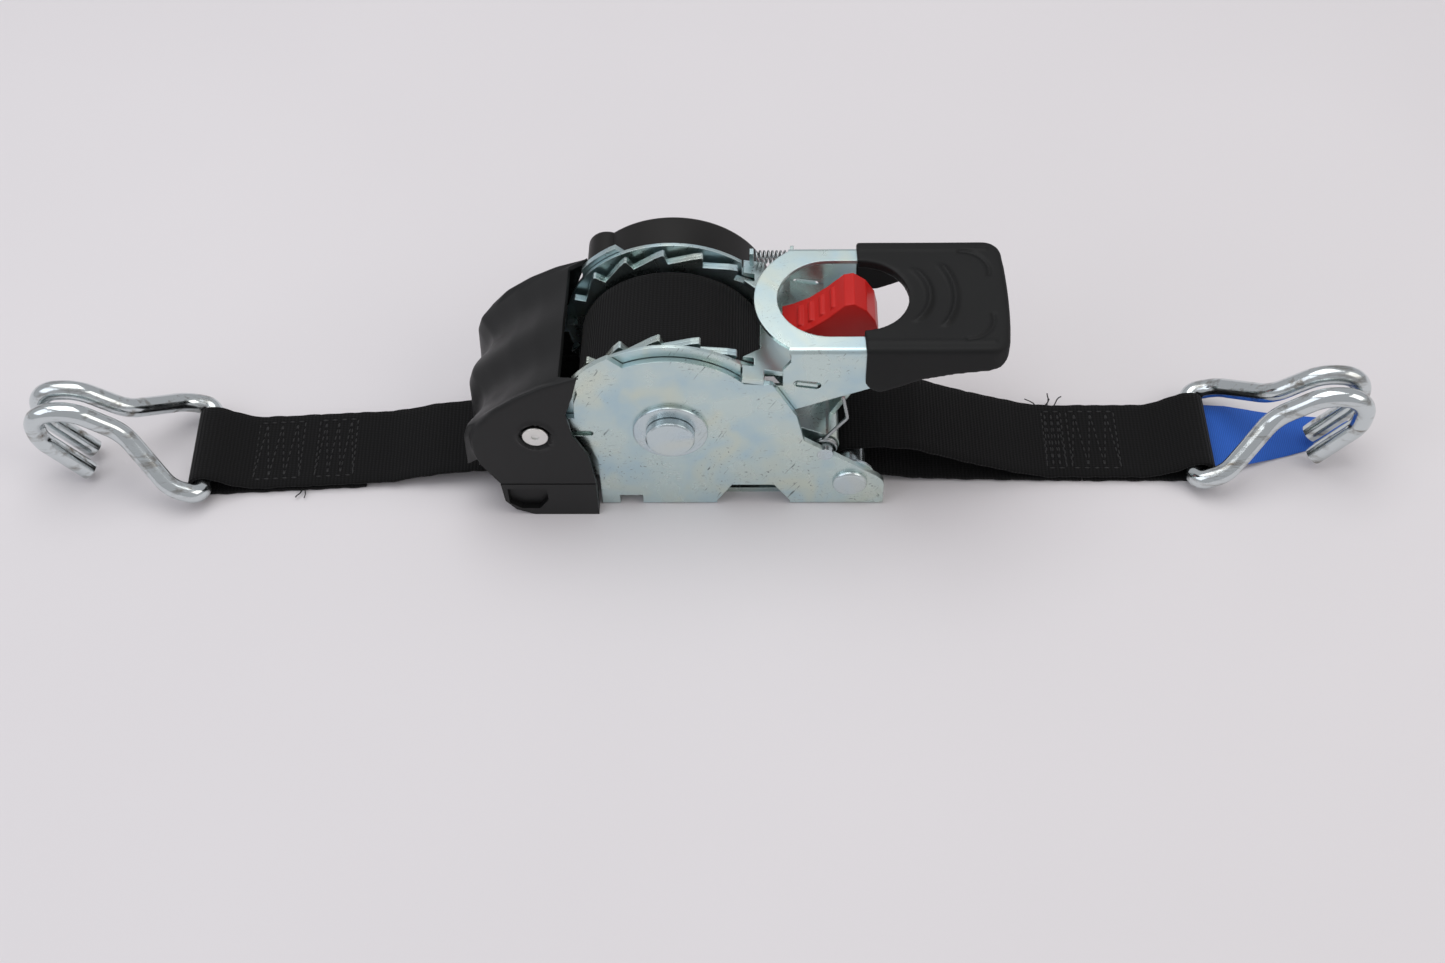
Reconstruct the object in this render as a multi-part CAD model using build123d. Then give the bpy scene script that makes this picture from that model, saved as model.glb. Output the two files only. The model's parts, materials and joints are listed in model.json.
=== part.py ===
from build123d import *
import os
from math import cos, radians, sin, sqrt, tan

# Self-retracting ratchet tie down for 50 mm webbing, in millimetres.
# While it is built, X runs along the strap, Y along the spool axle, Z is up, and the axle stands over the
# origin with the frame's base on Z = 0. At the end everything is centred over the origin in X and Y.

# ---------------------------------------------------------------- driving dimensions
WEB_WIDTH = 47.5
WEB_THICK = 2.4
RUN_GAP = 0.05            # radial running clearance of a shaft in its hole
SIDE_GAP = 0.4            # clearance between flat neighbours that slide past each other

AXLE_HEIGHT = 59.7
AXLE_RADIUS = 11.0
AXLE_HEAD_LIP = 1.0       # how far the head's rim stands past the shaft
AXLE_HEAD_OUT = 7.2       # how far the head stands out of the side plate
BUSH_WALL = 3.0
BUSH_FLANGE_LIP = 4.35    # how far the bush's flange stands past its sleeve
BUSH_FLANGE = 2.4

WEB_ROOM = 2.25           # between the webbing's edge and a ratchet wheel
WHEEL_LEAF = 2.0          # each wheel is two leaves
WHEEL_ROOM = 2.7          # between a ratchet wheel and the handle
TOOTH_COUNT = 18
TOOTH_TIP_RADIUS = 55.5
TOOTH_ROOT_RADIUS = 49.5
TOOTH_START = 53.0        # direction of one tooth's steep face, in degrees from +X
CORE_WALL = 4.0
ROLL_RADIUS = 47.8

FRAME_PLATE = 3.0
FRAME_LEFT = -37.5
FRAME_RIGHT = 106.3
CAM_RADIUS = 49.4
CAM_HIGH_RADIUS = 58.2
RIVET_X, RIVET_Z = -66.0, 60.0
RIVET_RADIUS = 4.0
RIVET_HEAD_LIP = 2.4
RIVET_RECESS_LIP = 3.8

HANDLE_PLATE = 2.0
HANDLE_TOP = 112.0
HANDLE_BEND = 3.0
HANDLE_HEAD_RADIUS = 55.5
RING_LIP, RING_X = 3.8, 79.5          # the ring's radius past the handle's side
HOLE_RADIUS, HOLE_X = 25.0, 77.0
HANDLE_SWING = 64.0       # working stroke in degrees: the cam's step stops the pawl there
SPRING_LUG_X = 58.6       # near face of the lug behind the pawl spring
SPRING_LUG_THICK = 1.8

GRIP_LEFT, GRIP_RIGHT = 93.5, 162.2
GRIP_FAR_LEFT = 90.5      # the grip's far arm reaches a little further than its near arm
GRIP_END_BOW = 2.2        # how far the end bulges between its corners
GRIP_CORNER = 9.0
GRIP_SKIN = 1.8
GRIP_COVER = 2.5          # rubber over the handle's top plate
GRIP_HOLE_RADIUS, GRIP_HOLE_X = 22.5, 92.5

PAWL_ANGLE = 10.0         # the drive pawl slides down towards the grip at this slope
PAWL_PLATE = 3.0
PAWL_NOSE_X, PAWL_NOSE_Z = 35.6, 98.7
PAWL_TRAVEL = 8.0
EAR_WIDTH = 10.4
TRIGGER_HALF = 10.5
TRIGGER_RIVET_RADIUS = 2.0

HOLD_X, HOLD_Z = 76.0, 40.0
HOLD_PIN_RADIUS = 4.0
HOLD_SWING = 18.0         # lift of the holding pawl, in degrees
HOLD_TAIL_LENGTH = 20.0

CROSS_X, CROSS_Z = 88.8, 18.4
CROSS_PIN_RADIUS = 6.0
CROSS_HEAD_LIP = 2.8
CROSS_WASHER_LIP = 7.0
CROSS_WASHER = 1.3
SLEEVE_WALL = 2.0

DRUM_RADIUS = 49.5
DRUM_DEPTH = 22.4         # from the side plate to the recoil cover's outer face
DRUM_WALL = 2.2
DRUM_PLATE = 1.5
HUB_RADIUS = 9.0

GUARD_TOP_OUT = 1.5       # how far the guard stands out of the frame at its upper ridge
GUARD_FOOT_OUT = 6.5      # and at its foot
GUARD_WALL = 3.0
GUARD_SPLIT_Z = 25.0
MOUTH_X = -104.0          # the front lip of the guard
MOUTH_TOP_Z = 31.0

PAYOUT_FOLD_X = -254.5    # far end of the payout strap's loop
PAYOUT_YAW = 3.4          # the payout strap lies a little askew, in degrees
PAYOUT_TRAVEL = 40.0
ANCHOR_FOLD_X = 277.5
ANCHOR_HOOK_YAW = -4.0

WIRE_RADIUS = 5.0
WIRE_GAP = 0.4            # between the wire and the loop round it
HOOK_ROOM = 1.55          # between the webbing's edge and the hook's leg
HOOK_THROAT_HALF = 7.4    # half the spacing of the two claws
HOOK_RISE = 44.5          # the claw's top over the bar
HOOK_REACH = 79.0         # from the bar to the end of the claw
HOOK_BEND_SLACK = 0.8     # how much wider than the wire's radius the bar's bends are
TAG_WIDTH = 42.0
TAG_SHIFT = 4.0           # the tag is sewn in off the strap's middle
TAG_LENGTH = 77.0
TAG_THICK = 0.8

# ---------------------------------------------------------------- derived places
SPOOL_GAP = WEB_WIDTH + 2 * WEB_ROOM
WHEEL_OUT = SPOOL_GAP / 2 + 2 * WHEEL_LEAF
GRIP_TOP = HANDLE_TOP + GRIP_COVER
HANDLE_INNER = WHEEL_OUT + WHEEL_ROOM
HANDLE_OUTER = HANDLE_INNER + HANDLE_PLATE
FRAME_INNER = HANDLE_OUTER + SIDE_GAP
FRAME_OUTER = FRAME_INNER + FRAME_PLATE
RING_RADIUS = HANDLE_OUTER + RING_LIP
HEAD_FACE = FRAME_OUTER + AXLE_HEAD_OUT
AXLE_HEAD_RADIUS = AXLE_RADIUS + AXLE_HEAD_LIP
BUSH_RADIUS = AXLE_RADIUS + RUN_GAP + BUSH_WALL
BUSH_FLANGE_RADIUS = BUSH_RADIUS + BUSH_FLANGE_LIP
CORE_RADIUS = AXLE_RADIUS + CORE_WALL
RIVET_HEAD_RADIUS = RIVET_RADIUS + RIVET_HEAD_LIP
RIVET_RECESS_RADIUS = RIVET_RADIUS + RIVET_RECESS_LIP
CROSS_HEAD_RADIUS = CROSS_PIN_RADIUS + CROSS_HEAD_LIP
CROSS_WASHER_RADIUS = CROSS_PIN_RADIUS + CROSS_WASHER_LIP
SLEEVE_RADIUS = CROSS_PIN_RADIUS + SLEEVE_WALL
DRUM_OUT = FRAME_OUTER + DRUM_DEPTH
GUARD_TOP_HALF = FRAME_OUTER + GUARD_TOP_OUT
GUARD_FOOT_HALF = FRAME_OUTER + GUARD_FOOT_OUT
HOOK_HALF = WEB_WIDTH / 2 + WIRE_RADIUS + HOOK_ROOM
HOOK_BEND = WIRE_RADIUS + HOOK_BEND_SLACK
LOOP_INNER = WIRE_RADIUS + WIRE_GAP
LOOP_OUTER = LOOP_INNER + WEB_THICK
BAR_Z = LOOP_OUTER + 0.1
TAIL_TOP = AXLE_HEIGHT - ROLL_RADIUS - SIDE_GAP
EAR_OUT = FRAME_OUTER + 1.2
RIVET_FACE = GUARD_TOP_HALF + 2.4
TRIGGER_RIVET_RUN = (34.0, 41.0)      # along the pawl from its nose

nodes = {}


def slab(face, y_low, y_high):
    """A flat outline drawn in X and Z, given its thickness along Y."""
    return extrude(Plane.XZ.offset(-y_high) * face, amount=y_high - y_low)


def outline(*points):
    """A closed straight-sided outline in X and Z."""
    return make_face(Polyline(*points, close=True))


def disc(radius, x=0.0, z=0.0):
    """A round outline in X and Z."""
    return Pos(x, z) * Circle(radius)


def rod(radius, y_low, y_high, x=0.0, z=AXLE_HEIGHT):
    """A round bar along Y."""
    return slab(disc(radius, x, z), y_low, y_high)


def block(x_low, x_high, y_low, y_high, z_low, z_high):
    """A box between two corners."""
    centre = Pos((x_low + x_high) / 2, (y_low + y_high) / 2, (z_low + z_high) / 2)
    return centre * Box(x_high - x_low, y_high - y_low, z_high - z_low)


def both_sides(shape):
    """A shape and its twin on the other side of the strap's centre plane."""
    return shape + mirror(shape, about=Plane.XZ)


def polar(radius, angle, x=0.0, z=AXLE_HEIGHT):
    """The X and Z of a point at a distance and direction from the axle."""
    return (x + radius * cos(radians(angle)), z + radius * sin(radians(angle)))


def arc_about_axle(radius, start, end):
    """An arc about the axle from one direction to another."""
    middle = (start + end) / 2
    return ThreePointArc(polar(radius, start), polar(radius, middle), polar(radius, end))


def pawl_line(x, drop=0.0):
    """Height of the drive pawl's upper face at x, less a drop."""
    return PAWL_NOSE_Z - tan(radians(PAWL_ANGLE)) * (x - PAWL_NOSE_X) - drop


# ---------------------------------------------------------------- frame
def side_plate_outline():
    """The side plate: cam edge round the axle, nose over the cross pin, arm to the guard rivet."""
    cam_end, step_low, step_high, tip = 43.0, 114.8, 118.2, 141.3
    arm_top, arm_low = RIVET_Z + 8.5, RIVET_Z - 8.5
    start = polar(CAM_RADIUS, cam_end)
    lower = Polyline(
        polar(CAM_HIGH_RADIUS, tip), (-43.5, 86.4), (-46.0, 79.0), (-46.5, arm_top), (RIVET_X, arm_top)
    )
    arm_end = ThreePointArc((RIVET_X, arm_top), (RIVET_X - 8.5, RIVET_Z), (RIVET_X, arm_low))
    base = Polyline(
        (RIVET_X, arm_low), (-47.0, arm_low), (-40.0, 45.0), (FRAME_LEFT, 36.0), (FRAME_LEFT, 0.0),
        (FRAME_RIGHT, 0.0), (FRAME_RIGHT, 19.5), (65.3, 50.8), (61.6, 69.1), (50.2, 91.6), (48.6, 92.3), start,
    )
    edges = arc_about_axle(CAM_RADIUS, cam_end, step_low)
    step = Line(polar(CAM_RADIUS, step_low), polar(CAM_HIGH_RADIUS, step_high))
    high = arc_about_axle(CAM_HIGH_RADIUS, step_high, tip)
    face = make_face(edges + step + high + lower + arm_end + base)
    corner = face.vertices().sort_by_distance((FRAME_RIGHT, 19.5))[0]
    face = fillet(corner, 9.0)
    inside = face.vertices().sort_by_distance((65.3, 50.8))[0]
    return fillet(inside, 4.0)


def make_frame():
    """The U-shaped frame: two side plates and the base between them, bent from one sheet."""
    plate = side_plate_outline()
    plate -= outline((21.5, -1.0), (58.8, -1.0), (58.8, 3.0), (50.6, 16.0), (29.3, 16.0), (21.5, 3.0))
    plate -= outline((-28.3, -1.0), (-16.5, -1.0), (-16.5, 7.5), (-28.3, 7.5))
    plate -= Pos(-46.5, RIVET_Z - 3.0) * SlotOverall(17.0, 3.6)
    plate -= disc(BUSH_RADIUS, 0.0, AXLE_HEIGHT)
    plate -= disc(CROSS_PIN_RADIUS, CROSS_X, CROSS_Z)
    plate -= disc(HOLD_PIN_RADIUS, HOLD_X, HOLD_Z)
    plate -= disc(RIVET_RADIUS, RIVET_X, RIVET_Z)
    side = slab(plate, FRAME_INNER, FRAME_OUTER)
    base_half = FRAME_INNER + 0.5
    base = block(FRAME_LEFT, FRAME_RIGHT, -base_half, base_half, 0.0, FRAME_PLATE)
    notch = FRAME_INNER - 5.1
    base -= both_sides(block(19.0, 61.3, notch, FRAME_OUTER, -1.0, FRAME_PLATE + 1.0))
    base -= both_sides(block(-30.3, -14.5, notch, FRAME_OUTER, -1.0, FRAME_PLATE + 1.0))
    base -= extrude(SlotOverall(40.0, 18.0), amount=FRAME_PLATE)
    frame = side + mirror(side, about=Plane.XZ) + base
    foot = [e for e in frame.edges().filter_by(Axis.X) if abs(e.center().Z) < 0.01]
    outer_foot = [e for e in foot if abs(abs(e.center().Y) - FRAME_OUTER) < 0.01]
    return fillet(outer_foot, 2.0)


# ---------------------------------------------------------------- axle, bushes, spool
def make_axle():
    """The spool's shaft, with a flat head on the near side and a square drive end in the recoil drum."""
    head = rod(AXLE_HEAD_RADIUS, -HEAD_FACE, -FRAME_OUTER - BUSH_FLANGE - SIDE_GAP)
    head = chamfer(head.edges().sort_by(Axis.Y)[0], 0.8)
    shaft = rod(AXLE_RADIUS, -FRAME_OUTER - BUSH_FLANGE - SIDE_GAP, FRAME_OUTER + DRUM_PLATE)
    drive_end = block(-4.0, 4.0, FRAME_OUTER, DRUM_OUT - DRUM_WALL - 4.0, AXLE_HEIGHT - 4.0, AXLE_HEIGHT + 4.0)
    return head + shaft + drive_end


def make_bushes():
    """Two flanged bushes that line the side plates and carry the handle's head plates."""
    sleeve = rod(BUSH_RADIUS, -FRAME_OUTER, -WHEEL_OUT - SIDE_GAP)
    flange = rod(BUSH_FLANGE_RADIUS, -FRAME_OUTER - BUSH_FLANGE, -FRAME_OUTER)
    flange = fillet(flange.edges().sort_by(Axis.Y)[0], 1.0)
    near = sleeve + flange - rod(AXLE_RADIUS + RUN_GAP, -HEAD_FACE, 0.0)
    far = rod(BUSH_RADIUS, WHEEL_OUT + SIDE_GAP, FRAME_OUTER) - rod(AXLE_RADIUS + RUN_GAP, 0.0, HEAD_FACE)
    return near + far


def wheel_outline():
    """A ratchet wheel: each tooth climbs gently to its tip, with its steep face towards -angle."""
    pitch = 360.0 / TOOTH_COUNT
    points = []
    for tooth in range(TOOTH_COUNT):
        at = TOOTH_START + tooth * pitch
        points += [
            polar(TOOTH_ROOT_RADIUS, at - 1.5), polar(TOOTH_TIP_RADIUS - 0.6, at), polar(TOOTH_TIP_RADIUS, at + 0.9),
            polar(TOOTH_TIP_RADIUS - 1.6, at + 5.0), polar(TOOTH_ROOT_RADIUS + 0.9, at + 14.5),
        ]
    return outline(*points) - disc(AXLE_RADIUS, 0.0, AXLE_HEIGHT)


def make_wheel_leaf(index):
    """One leaf of the four, counted from the near side outwards in."""
    inner = SPOOL_GAP / 2 + (WHEEL_LEAF if index in (0, 3) else 0.0)
    low = inner if index > 1 else -inner - WHEEL_LEAF
    return slab(wheel_outline(), low, low + WHEEL_LEAF)


def make_spool_core():
    """The slotted drum that the webbing is wound on, with a slot through it for the webbing's end."""
    core = rod(CORE_RADIUS, -SPOOL_GAP / 2, SPOOL_GAP / 2) - rod(AXLE_RADIUS, -SPOOL_GAP, SPOOL_GAP)
    slot = block(AXLE_RADIUS - 1.0, CORE_RADIUS + 1.0, -WEB_WIDTH / 2, WEB_WIDTH / 2,
                 AXLE_HEIGHT - 1.5, AXLE_HEIGHT + 1.5)
    return core - slot


def make_webbing_roll():
    """The wound webbing."""
    half = WEB_WIDTH / 2
    return rod(ROLL_RADIUS, -half, half) - rod(CORE_RADIUS, -half, half)


# ---------------------------------------------------------------- guard at the payout end
GUARD_CREST = [(-46.0, 100.5), (-64.0, 91.0), (-82.0, 77.5), (-95.0, 62.0), (-98.5, 55.0), (-98.0, 47.0)]
GUARD_FRONT = [(-87.0, GUARD_SPLIT_Z)]
GUARD_REAR = [(-39.0, GUARD_SPLIT_Z), (-39.0, 33.0), (-48.5, 56.0), (-51.5, 72.0), (-48.0, 85.0), (-43.0, 96.0)]


def flare(y_sign):
    """A wedge that leans outward from the guard's ridge to its foot."""
    inner = FRAME_OUTER + SIDE_GAP
    section = Plane.YZ * make_face(Polyline(
        (y_sign * inner, 0.0), (y_sign * GUARD_FOOT_HALF, 0.0), (y_sign * GUARD_FOOT_HALF, GUARD_SPLIT_Z),
        (y_sign * (GUARD_TOP_HALF + 2.4), 62.0), (y_sign * (GUARD_TOP_HALF + 1.0), 106.0),
        (y_sign * inner, 106.0), close=True))
    return Pos(-120.0, 0.0, 0.0) * extrude(section, amount=100.0)


def make_guard_hood():
    """The hood over the webbing: a sloping shell between two side cheeks."""
    cheek_face = make_face(Polyline(*GUARD_CREST, *GUARD_FRONT, *GUARD_REAR, close=True))
    cheeks = slab(cheek_face, -GUARD_FOOT_HALF, GUARD_FOOT_HALF) & (flare(1) + flare(-1))
    inner_half = FRAME_OUTER + SIDE_GAP
    shell_face = outline(
        (-54.5, 98.5), (-66.0, 90.5), (-82.0, 77.0), (-95.0, 64.0), (MOUTH_X, 56.0), (MOUTH_X, MOUTH_TOP_Z),
        (MOUTH_X + GUARD_WALL, MOUTH_TOP_Z), (MOUTH_X + GUARD_WALL, 54.5), (-92.5, 62.3), (-80.0, 74.7),
        (-64.2, 88.0), (-54.5, 94.5),
    )
    shell = slab(shell_face, -inner_half - 0.5, inner_half + 0.5)
    nose = slab(outline((MOUTH_X, 56.0), (-95.0, 64.0), (-92.5, 62.0), (-86.0, 40.0), (-90.0, MOUTH_TOP_Z),
                        (MOUTH_X, MOUTH_TOP_Z)), inner_half - 6.0, inner_half + 1.0)
    hood = cheeks + shell + both_sides(nose)
    hood -= both_sides(rod(RIVET_RADIUS, FRAME_INNER, DRUM_OUT, RIVET_X, RIVET_Z))
    hood -= both_sides(rod(RIVET_RECESS_RADIUS, RIVET_FACE, DRUM_OUT, RIVET_X, RIVET_Z))
    return hood - slab(drum_outline(DRUM_RADIUS + 2 * SIDE_GAP, 2 * SIDE_GAP), FRAME_OUTER, DRUM_OUT)


def make_guard_base():
    """The lower guard shell under the webbing, with a pocket in each cheek."""
    face = outline(
        (-39.0, 0.0), (-39.0, GUARD_SPLIT_Z - SIDE_GAP), (-87.0, GUARD_SPLIT_Z - SIDE_GAP), (-86.0, 11.0),
        (-81.0, 4.0), (-72.0, 0.0),
    )
    body = slab(face, -GUARD_FOOT_HALF, GUARD_FOOT_HALF)
    inner = FRAME_OUTER + SIDE_GAP
    body -= block(-120.0, -30.0, -inner, inner, GUARD_WALL, GUARD_SPLIT_Z)
    pocket = slab(outline((-84.0, 9.5), (-78.0, 5.0), (-69.0, 5.0), (-64.0, 12.0), (-64.0, 21.0), (-84.0, 21.0)),
                  GUARD_FOOT_HALF - 3.0, GUARD_FOOT_HALF + 1.0)
    body -= both_sides(pocket)
    body -= block(-60.0, -30.0, -inner - 0.1, inner + 0.1, -1.0, GUARD_SPLIT_Z)
    return body


def make_guard_rivets():
    """The rod that holds the guard, riveted over at both ends, with a dimple in each head."""
    bar = rod(RIVET_RADIUS, -RIVET_FACE, RIVET_FACE, RIVET_X, RIVET_Z)
    head = rod(RIVET_HEAD_RADIUS, RIVET_FACE, RIVET_FACE + 1.2, RIVET_X, RIVET_Z)
    head = fillet(head.edges().sort_by(Axis.Y)[-1], 0.5)
    head -= rod(1.9, RIVET_FACE + 0.4, RIVET_FACE + 2.0, RIVET_X, RIVET_Z)
    return bar + head + mirror(head, about=Plane.XZ)


def make_guide_roller():
    """A plastic tube on the guard's rod."""
    half = FRAME_INNER - SIDE_GAP
    return rod(7.0, -half, half, RIVET_X, RIVET_Z) - rod(RIVET_RADIUS, -half, half, RIVET_X, RIVET_Z)


# ---------------------------------------------------------------- recoil drum on the far side
def drum_outline(radius, grow=0.0):
    """The drum's round outline with the lug that anchors the spring."""
    lug_x, lug_z = polar(DRUM_RADIUS - 4.0, 138.0)
    return disc(radius, 0.0, AXLE_HEIGHT) + disc(9.5 + grow, lug_x, lug_z)


def make_recoil_plate():
    """The steel back plate of the recoil drum."""
    low = FRAME_OUTER
    plate = slab(drum_outline(DRUM_RADIUS - DRUM_WALL - SIDE_GAP, -DRUM_WALL - SIDE_GAP), low, low + DRUM_PLATE)
    return plate - rod(AXLE_RADIUS + 1.0, low - 1.0, low + 5.0)


def make_recoil_cover():
    """The cup-shaped plastic cover over the recoil spring."""
    shell = slab(drum_outline(DRUM_RADIUS), FRAME_OUTER + SIDE_GAP, DRUM_OUT)
    shell = fillet(shell.faces().sort_by(Axis.Y)[-1].outer_wire().edges(), 2.4)
    cavity = slab(drum_outline(DRUM_RADIUS - DRUM_WALL, -DRUM_WALL), FRAME_OUTER, DRUM_OUT - DRUM_WALL)
    cover = shell - cavity
    boss = rod(15.0, DRUM_OUT - DRUM_WALL, DRUM_OUT + 1.6)
    cover += fillet(boss.edges().sort_by(Axis.Y)[-1], 1.0)
    for angle in (30.0, 150.0, 270.0):
        x, z = polar(34.0, angle)
        cover -= rod(2.0, DRUM_OUT - 5.0, DRUM_OUT + 1.0, x, z)
    return cover


def make_recoil_screws():
    """Three screws through the cover's face."""
    screws = Part()
    for angle in (30.0, 150.0, 270.0):
        x, z = polar(34.0, angle)
        head = fillet(rod(3.8, DRUM_OUT, DRUM_OUT + 2.0, x, z).edges().sort_by(Axis.Y)[-1], 1.2)
        head -= block(x - 2.6, x + 2.6, DRUM_OUT + 1.0, DRUM_OUT + 3.0, z - 0.5, z + 0.5)
        head -= block(x - 0.5, x + 0.5, DRUM_OUT + 1.0, DRUM_OUT + 3.0, z - 2.6, z + 2.6)
        screws += head + rod(2.0, FRAME_OUTER + DRUM_PLATE, DRUM_OUT, x, z)
    return screws


def make_recoil_hub():
    """The arbor that winds the spring, driven by the axle's square end."""
    low, high = FRAME_OUTER + DRUM_PLATE + SIDE_GAP, DRUM_OUT - DRUM_WALL - SIDE_GAP
    hub = rod(HUB_RADIUS, low, high)
    end = DRUM_OUT - DRUM_WALL - 4.0
    return hub - block(-4.0, 4.0, FRAME_OUTER, end, AXLE_HEIGHT - 4.0, AXLE_HEIGHT + 4.0)


def make_recoil_spring():
    """The flat spiral spring, as nested coils joined by a spoke inside the drum."""
    low, high = FRAME_OUTER + DRUM_PLATE + 2.0, DRUM_OUT - DRUM_WALL - 3.0
    spring = Part()
    for turn in range(6):
        radius = 20.0 + 2.0 * turn
        spring += rod(radius + 0.6, low, high) - rod(radius, low - 1.0, high + 1.0)
    return spring + block(20.1, 30.5, low, high, AXLE_HEIGHT - 0.4, AXLE_HEIGHT + 0.4)


# ---------------------------------------------------------------- handle
def handle_side_outline():
    """A handle side plate: a round head on the axle and an arm under the grip."""
    notch_left = PAWL_NOSE_X - 0.9
    notch_right = PAWL_NOSE_X + EAR_WIDTH + PAWL_TRAVEL + 0.7
    arm = outline(
        (30.0, 60.0), (57.4, 69.5), (96.0, 86.0), (118.0, 92.0), (152.0, 100.5), (152.0, HANDLE_TOP),
        (58.5, HANDLE_TOP), (58.5, 104.5), (notch_right, 99.0), (notch_right, 88.0), (30.0, 88.0),
    )
    plate = disc(HANDLE_HEAD_RADIUS, 0.0, AXLE_HEIGHT) + arm
    floor_left, floor_right = pawl_line(notch_left, PAWL_PLATE + 0.6), pawl_line(notch_right, PAWL_PLATE + 0.6)
    plate -= outline((notch_left, 130.0), (notch_left, floor_left), (notch_right, floor_right),
                     (notch_right, 99.0), (58.5, 104.5), (58.5, 130.0))
    return plate


BRACKET_X = 66.4
BRACKET_LENGTH = 10.0


def bracket_slot(length, height):
    """The slanted slot through a handle side plate that takes the pawl bracket's tab."""
    middle = pawl_line(BRACKET_X, PAWL_PLATE + 0.35 + 1.0)
    return Pos(BRACKET_X, middle) * Rot(0.0, 0.0, -PAWL_ANGLE) * SlotOverall(length, height)


def make_handle_frame():
    """The handle's steel channel: ring-ended top plate folded down into two side plates."""
    side_face = handle_side_outline()
    side_face -= disc(BUSH_RADIUS + RUN_GAP, 0.0, AXLE_HEIGHT)
    side_face -= bracket_slot(BRACKET_LENGTH + 3.4, 4.8)
    side = slab(side_face, HANDLE_INNER, HANDLE_OUTER)
    top = block(58.5, 152.0, -HANDLE_OUTER, HANDLE_OUTER, HANDLE_TOP - HANDLE_PLATE, HANDLE_TOP)
    ring = Pos(RING_X, 0.0, HANDLE_TOP - HANDLE_PLATE) * Cylinder(
        RING_RADIUS, HANDLE_PLATE, align=(Align.CENTER, Align.CENTER, Align.MIN))
    ring &= block(0.0, 75.0, -HANDLE_OUTER, HANDLE_OUTER, 0.0, 200.0)
    top -= block(50.0, 75.0, -60.0, 60.0, 0.0, 200.0)
    flank = RING_X - sqrt(RING_RADIUS ** 2 - (HANDLE_OUTER - HANDLE_BEND) ** 2)
    strips = block(flank, 75.0, HANDLE_OUTER - HANDLE_BEND - 1.0, HANDLE_OUTER,
                   HANDLE_TOP - HANDLE_PLATE, HANDLE_TOP)
    channel = side + mirror(side, about=Plane.XZ) + top + ring + both_sides(strips)
    folds = [e for e in channel.edges().filter_by(Axis.X)
             if abs(e.center().Z - HANDLE_TOP) < 0.01 and abs(abs(e.center().Y) - HANDLE_OUTER) < 0.01]
    channel = fillet(folds, HANDLE_BEND - 0.2)
    hole = Pos(HOLE_X, 0.0, HANDLE_TOP) * Cylinder(HOLE_RADIUS, 10.0)
    hole += block(HOLE_X, 118.0 - HOLE_RADIUS, -HOLE_RADIUS, HOLE_RADIUS, HANDLE_TOP - 5.0, HANDLE_TOP + 5.0)
    hole += Pos(118.0 - HOLE_RADIUS, 0.0, HANDLE_TOP) * Cylinder(HOLE_RADIUS, 10.0)
    return channel - hole


def make_spring_lug():
    """A small tab bent out of the far side plate for the pawl spring to push against."""
    return block(SPRING_LUG_X, SPRING_LUG_X + SPRING_LUG_THICK, HANDLE_OUTER, HANDLE_OUTER + 7.0, 97.0, 106.0)


def make_grip():
    """The rubber grip moulded round the end of the handle, open underneath."""
    half = HANDLE_OUTER + GRIP_SKIN
    face = outline(
        (GRIP_FAR_LEFT, GRIP_TOP), (GRIP_RIGHT, GRIP_TOP), (GRIP_RIGHT, 104.0), (GRIP_RIGHT - 5.0, 100.6),
        (136.0, 97.5), (120.0, 93.5), (106.0, 86.6), (100.5, 84.6), (96.0, 87.0), (GRIP_FAR_LEFT, 96.0),
    )
    side_end = GRIP_RIGHT - GRIP_END_BOW
    plan = make_face(
        ThreePointArc((side_end, -half), (GRIP_RIGHT, 0.0), (side_end, half))
        + Polyline((side_end, half), (GRIP_FAR_LEFT, half), (GRIP_LEFT, -half), (side_end, -half)))
    ends = plan.vertices().sort_by(Axis.X)[-2:]
    plan = fillet(ends, GRIP_CORNER)
    grip = slab(face, -half, half) & extrude(plan, amount=GRIP_TOP)
    shoulder = [e for e in grip.edges() if abs(e.center().Z - GRIP_TOP) < 0.01 and e.center().X > GRIP_LEFT + 5.0]
    grip = fillet(shoulder, 2.4)
    inner = HANDLE_INNER - 1.2
    grip -= block(GRIP_FAR_LEFT - 1.0, 153.5, -inner, inner, 60.0, HANDLE_TOP - HANDLE_PLATE - 1.2)
    hole = Pos(GRIP_HOLE_X, 0.0, GRIP_TOP) * Cylinder(GRIP_HOLE_RADIUS, 40.0)
    return grip - hole


def make_pawl_bracket():
    """The plate that the pawl slides on, staked into both handle side plates by its tabs."""
    middle = pawl_line(BRACKET_X, PAWL_PLATE + 0.35 + 1.0)
    plate = Box(18.0, 2 * (HANDLE_INNER - 0.1), 2.0) + Box(BRACKET_LENGTH, 2 * HANDLE_OUTER, 2.0)
    return Pos(BRACKET_X, 0.0, middle) * Rot(0.0, PAWL_ANGLE, 0.0) * plate


# ---------------------------------------------------------------- drive pawl and trigger
def on_pawl(shape):
    """A shape drawn along the pawl from its nose, X down the slope and Z off its upper face."""
    return Pos(PAWL_NOSE_X, 0.0, PAWL_NOSE_Z) * Rot(0.0, PAWL_ANGLE, 0.0) * shape


def trigger_rivet_rods():
    """The shanks of the rivets between pawl and trigger."""
    rods = Part()
    for along in TRIGGER_RIVET_RUN:
        rods += Pos(along, 0.0, -PAWL_PLATE) * Cylinder(
            TRIGGER_RIVET_RADIUS, PAWL_PLATE + 3.0, align=(Align.CENTER, Align.CENTER, Align.MIN))
    return on_pawl(rods)


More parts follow.
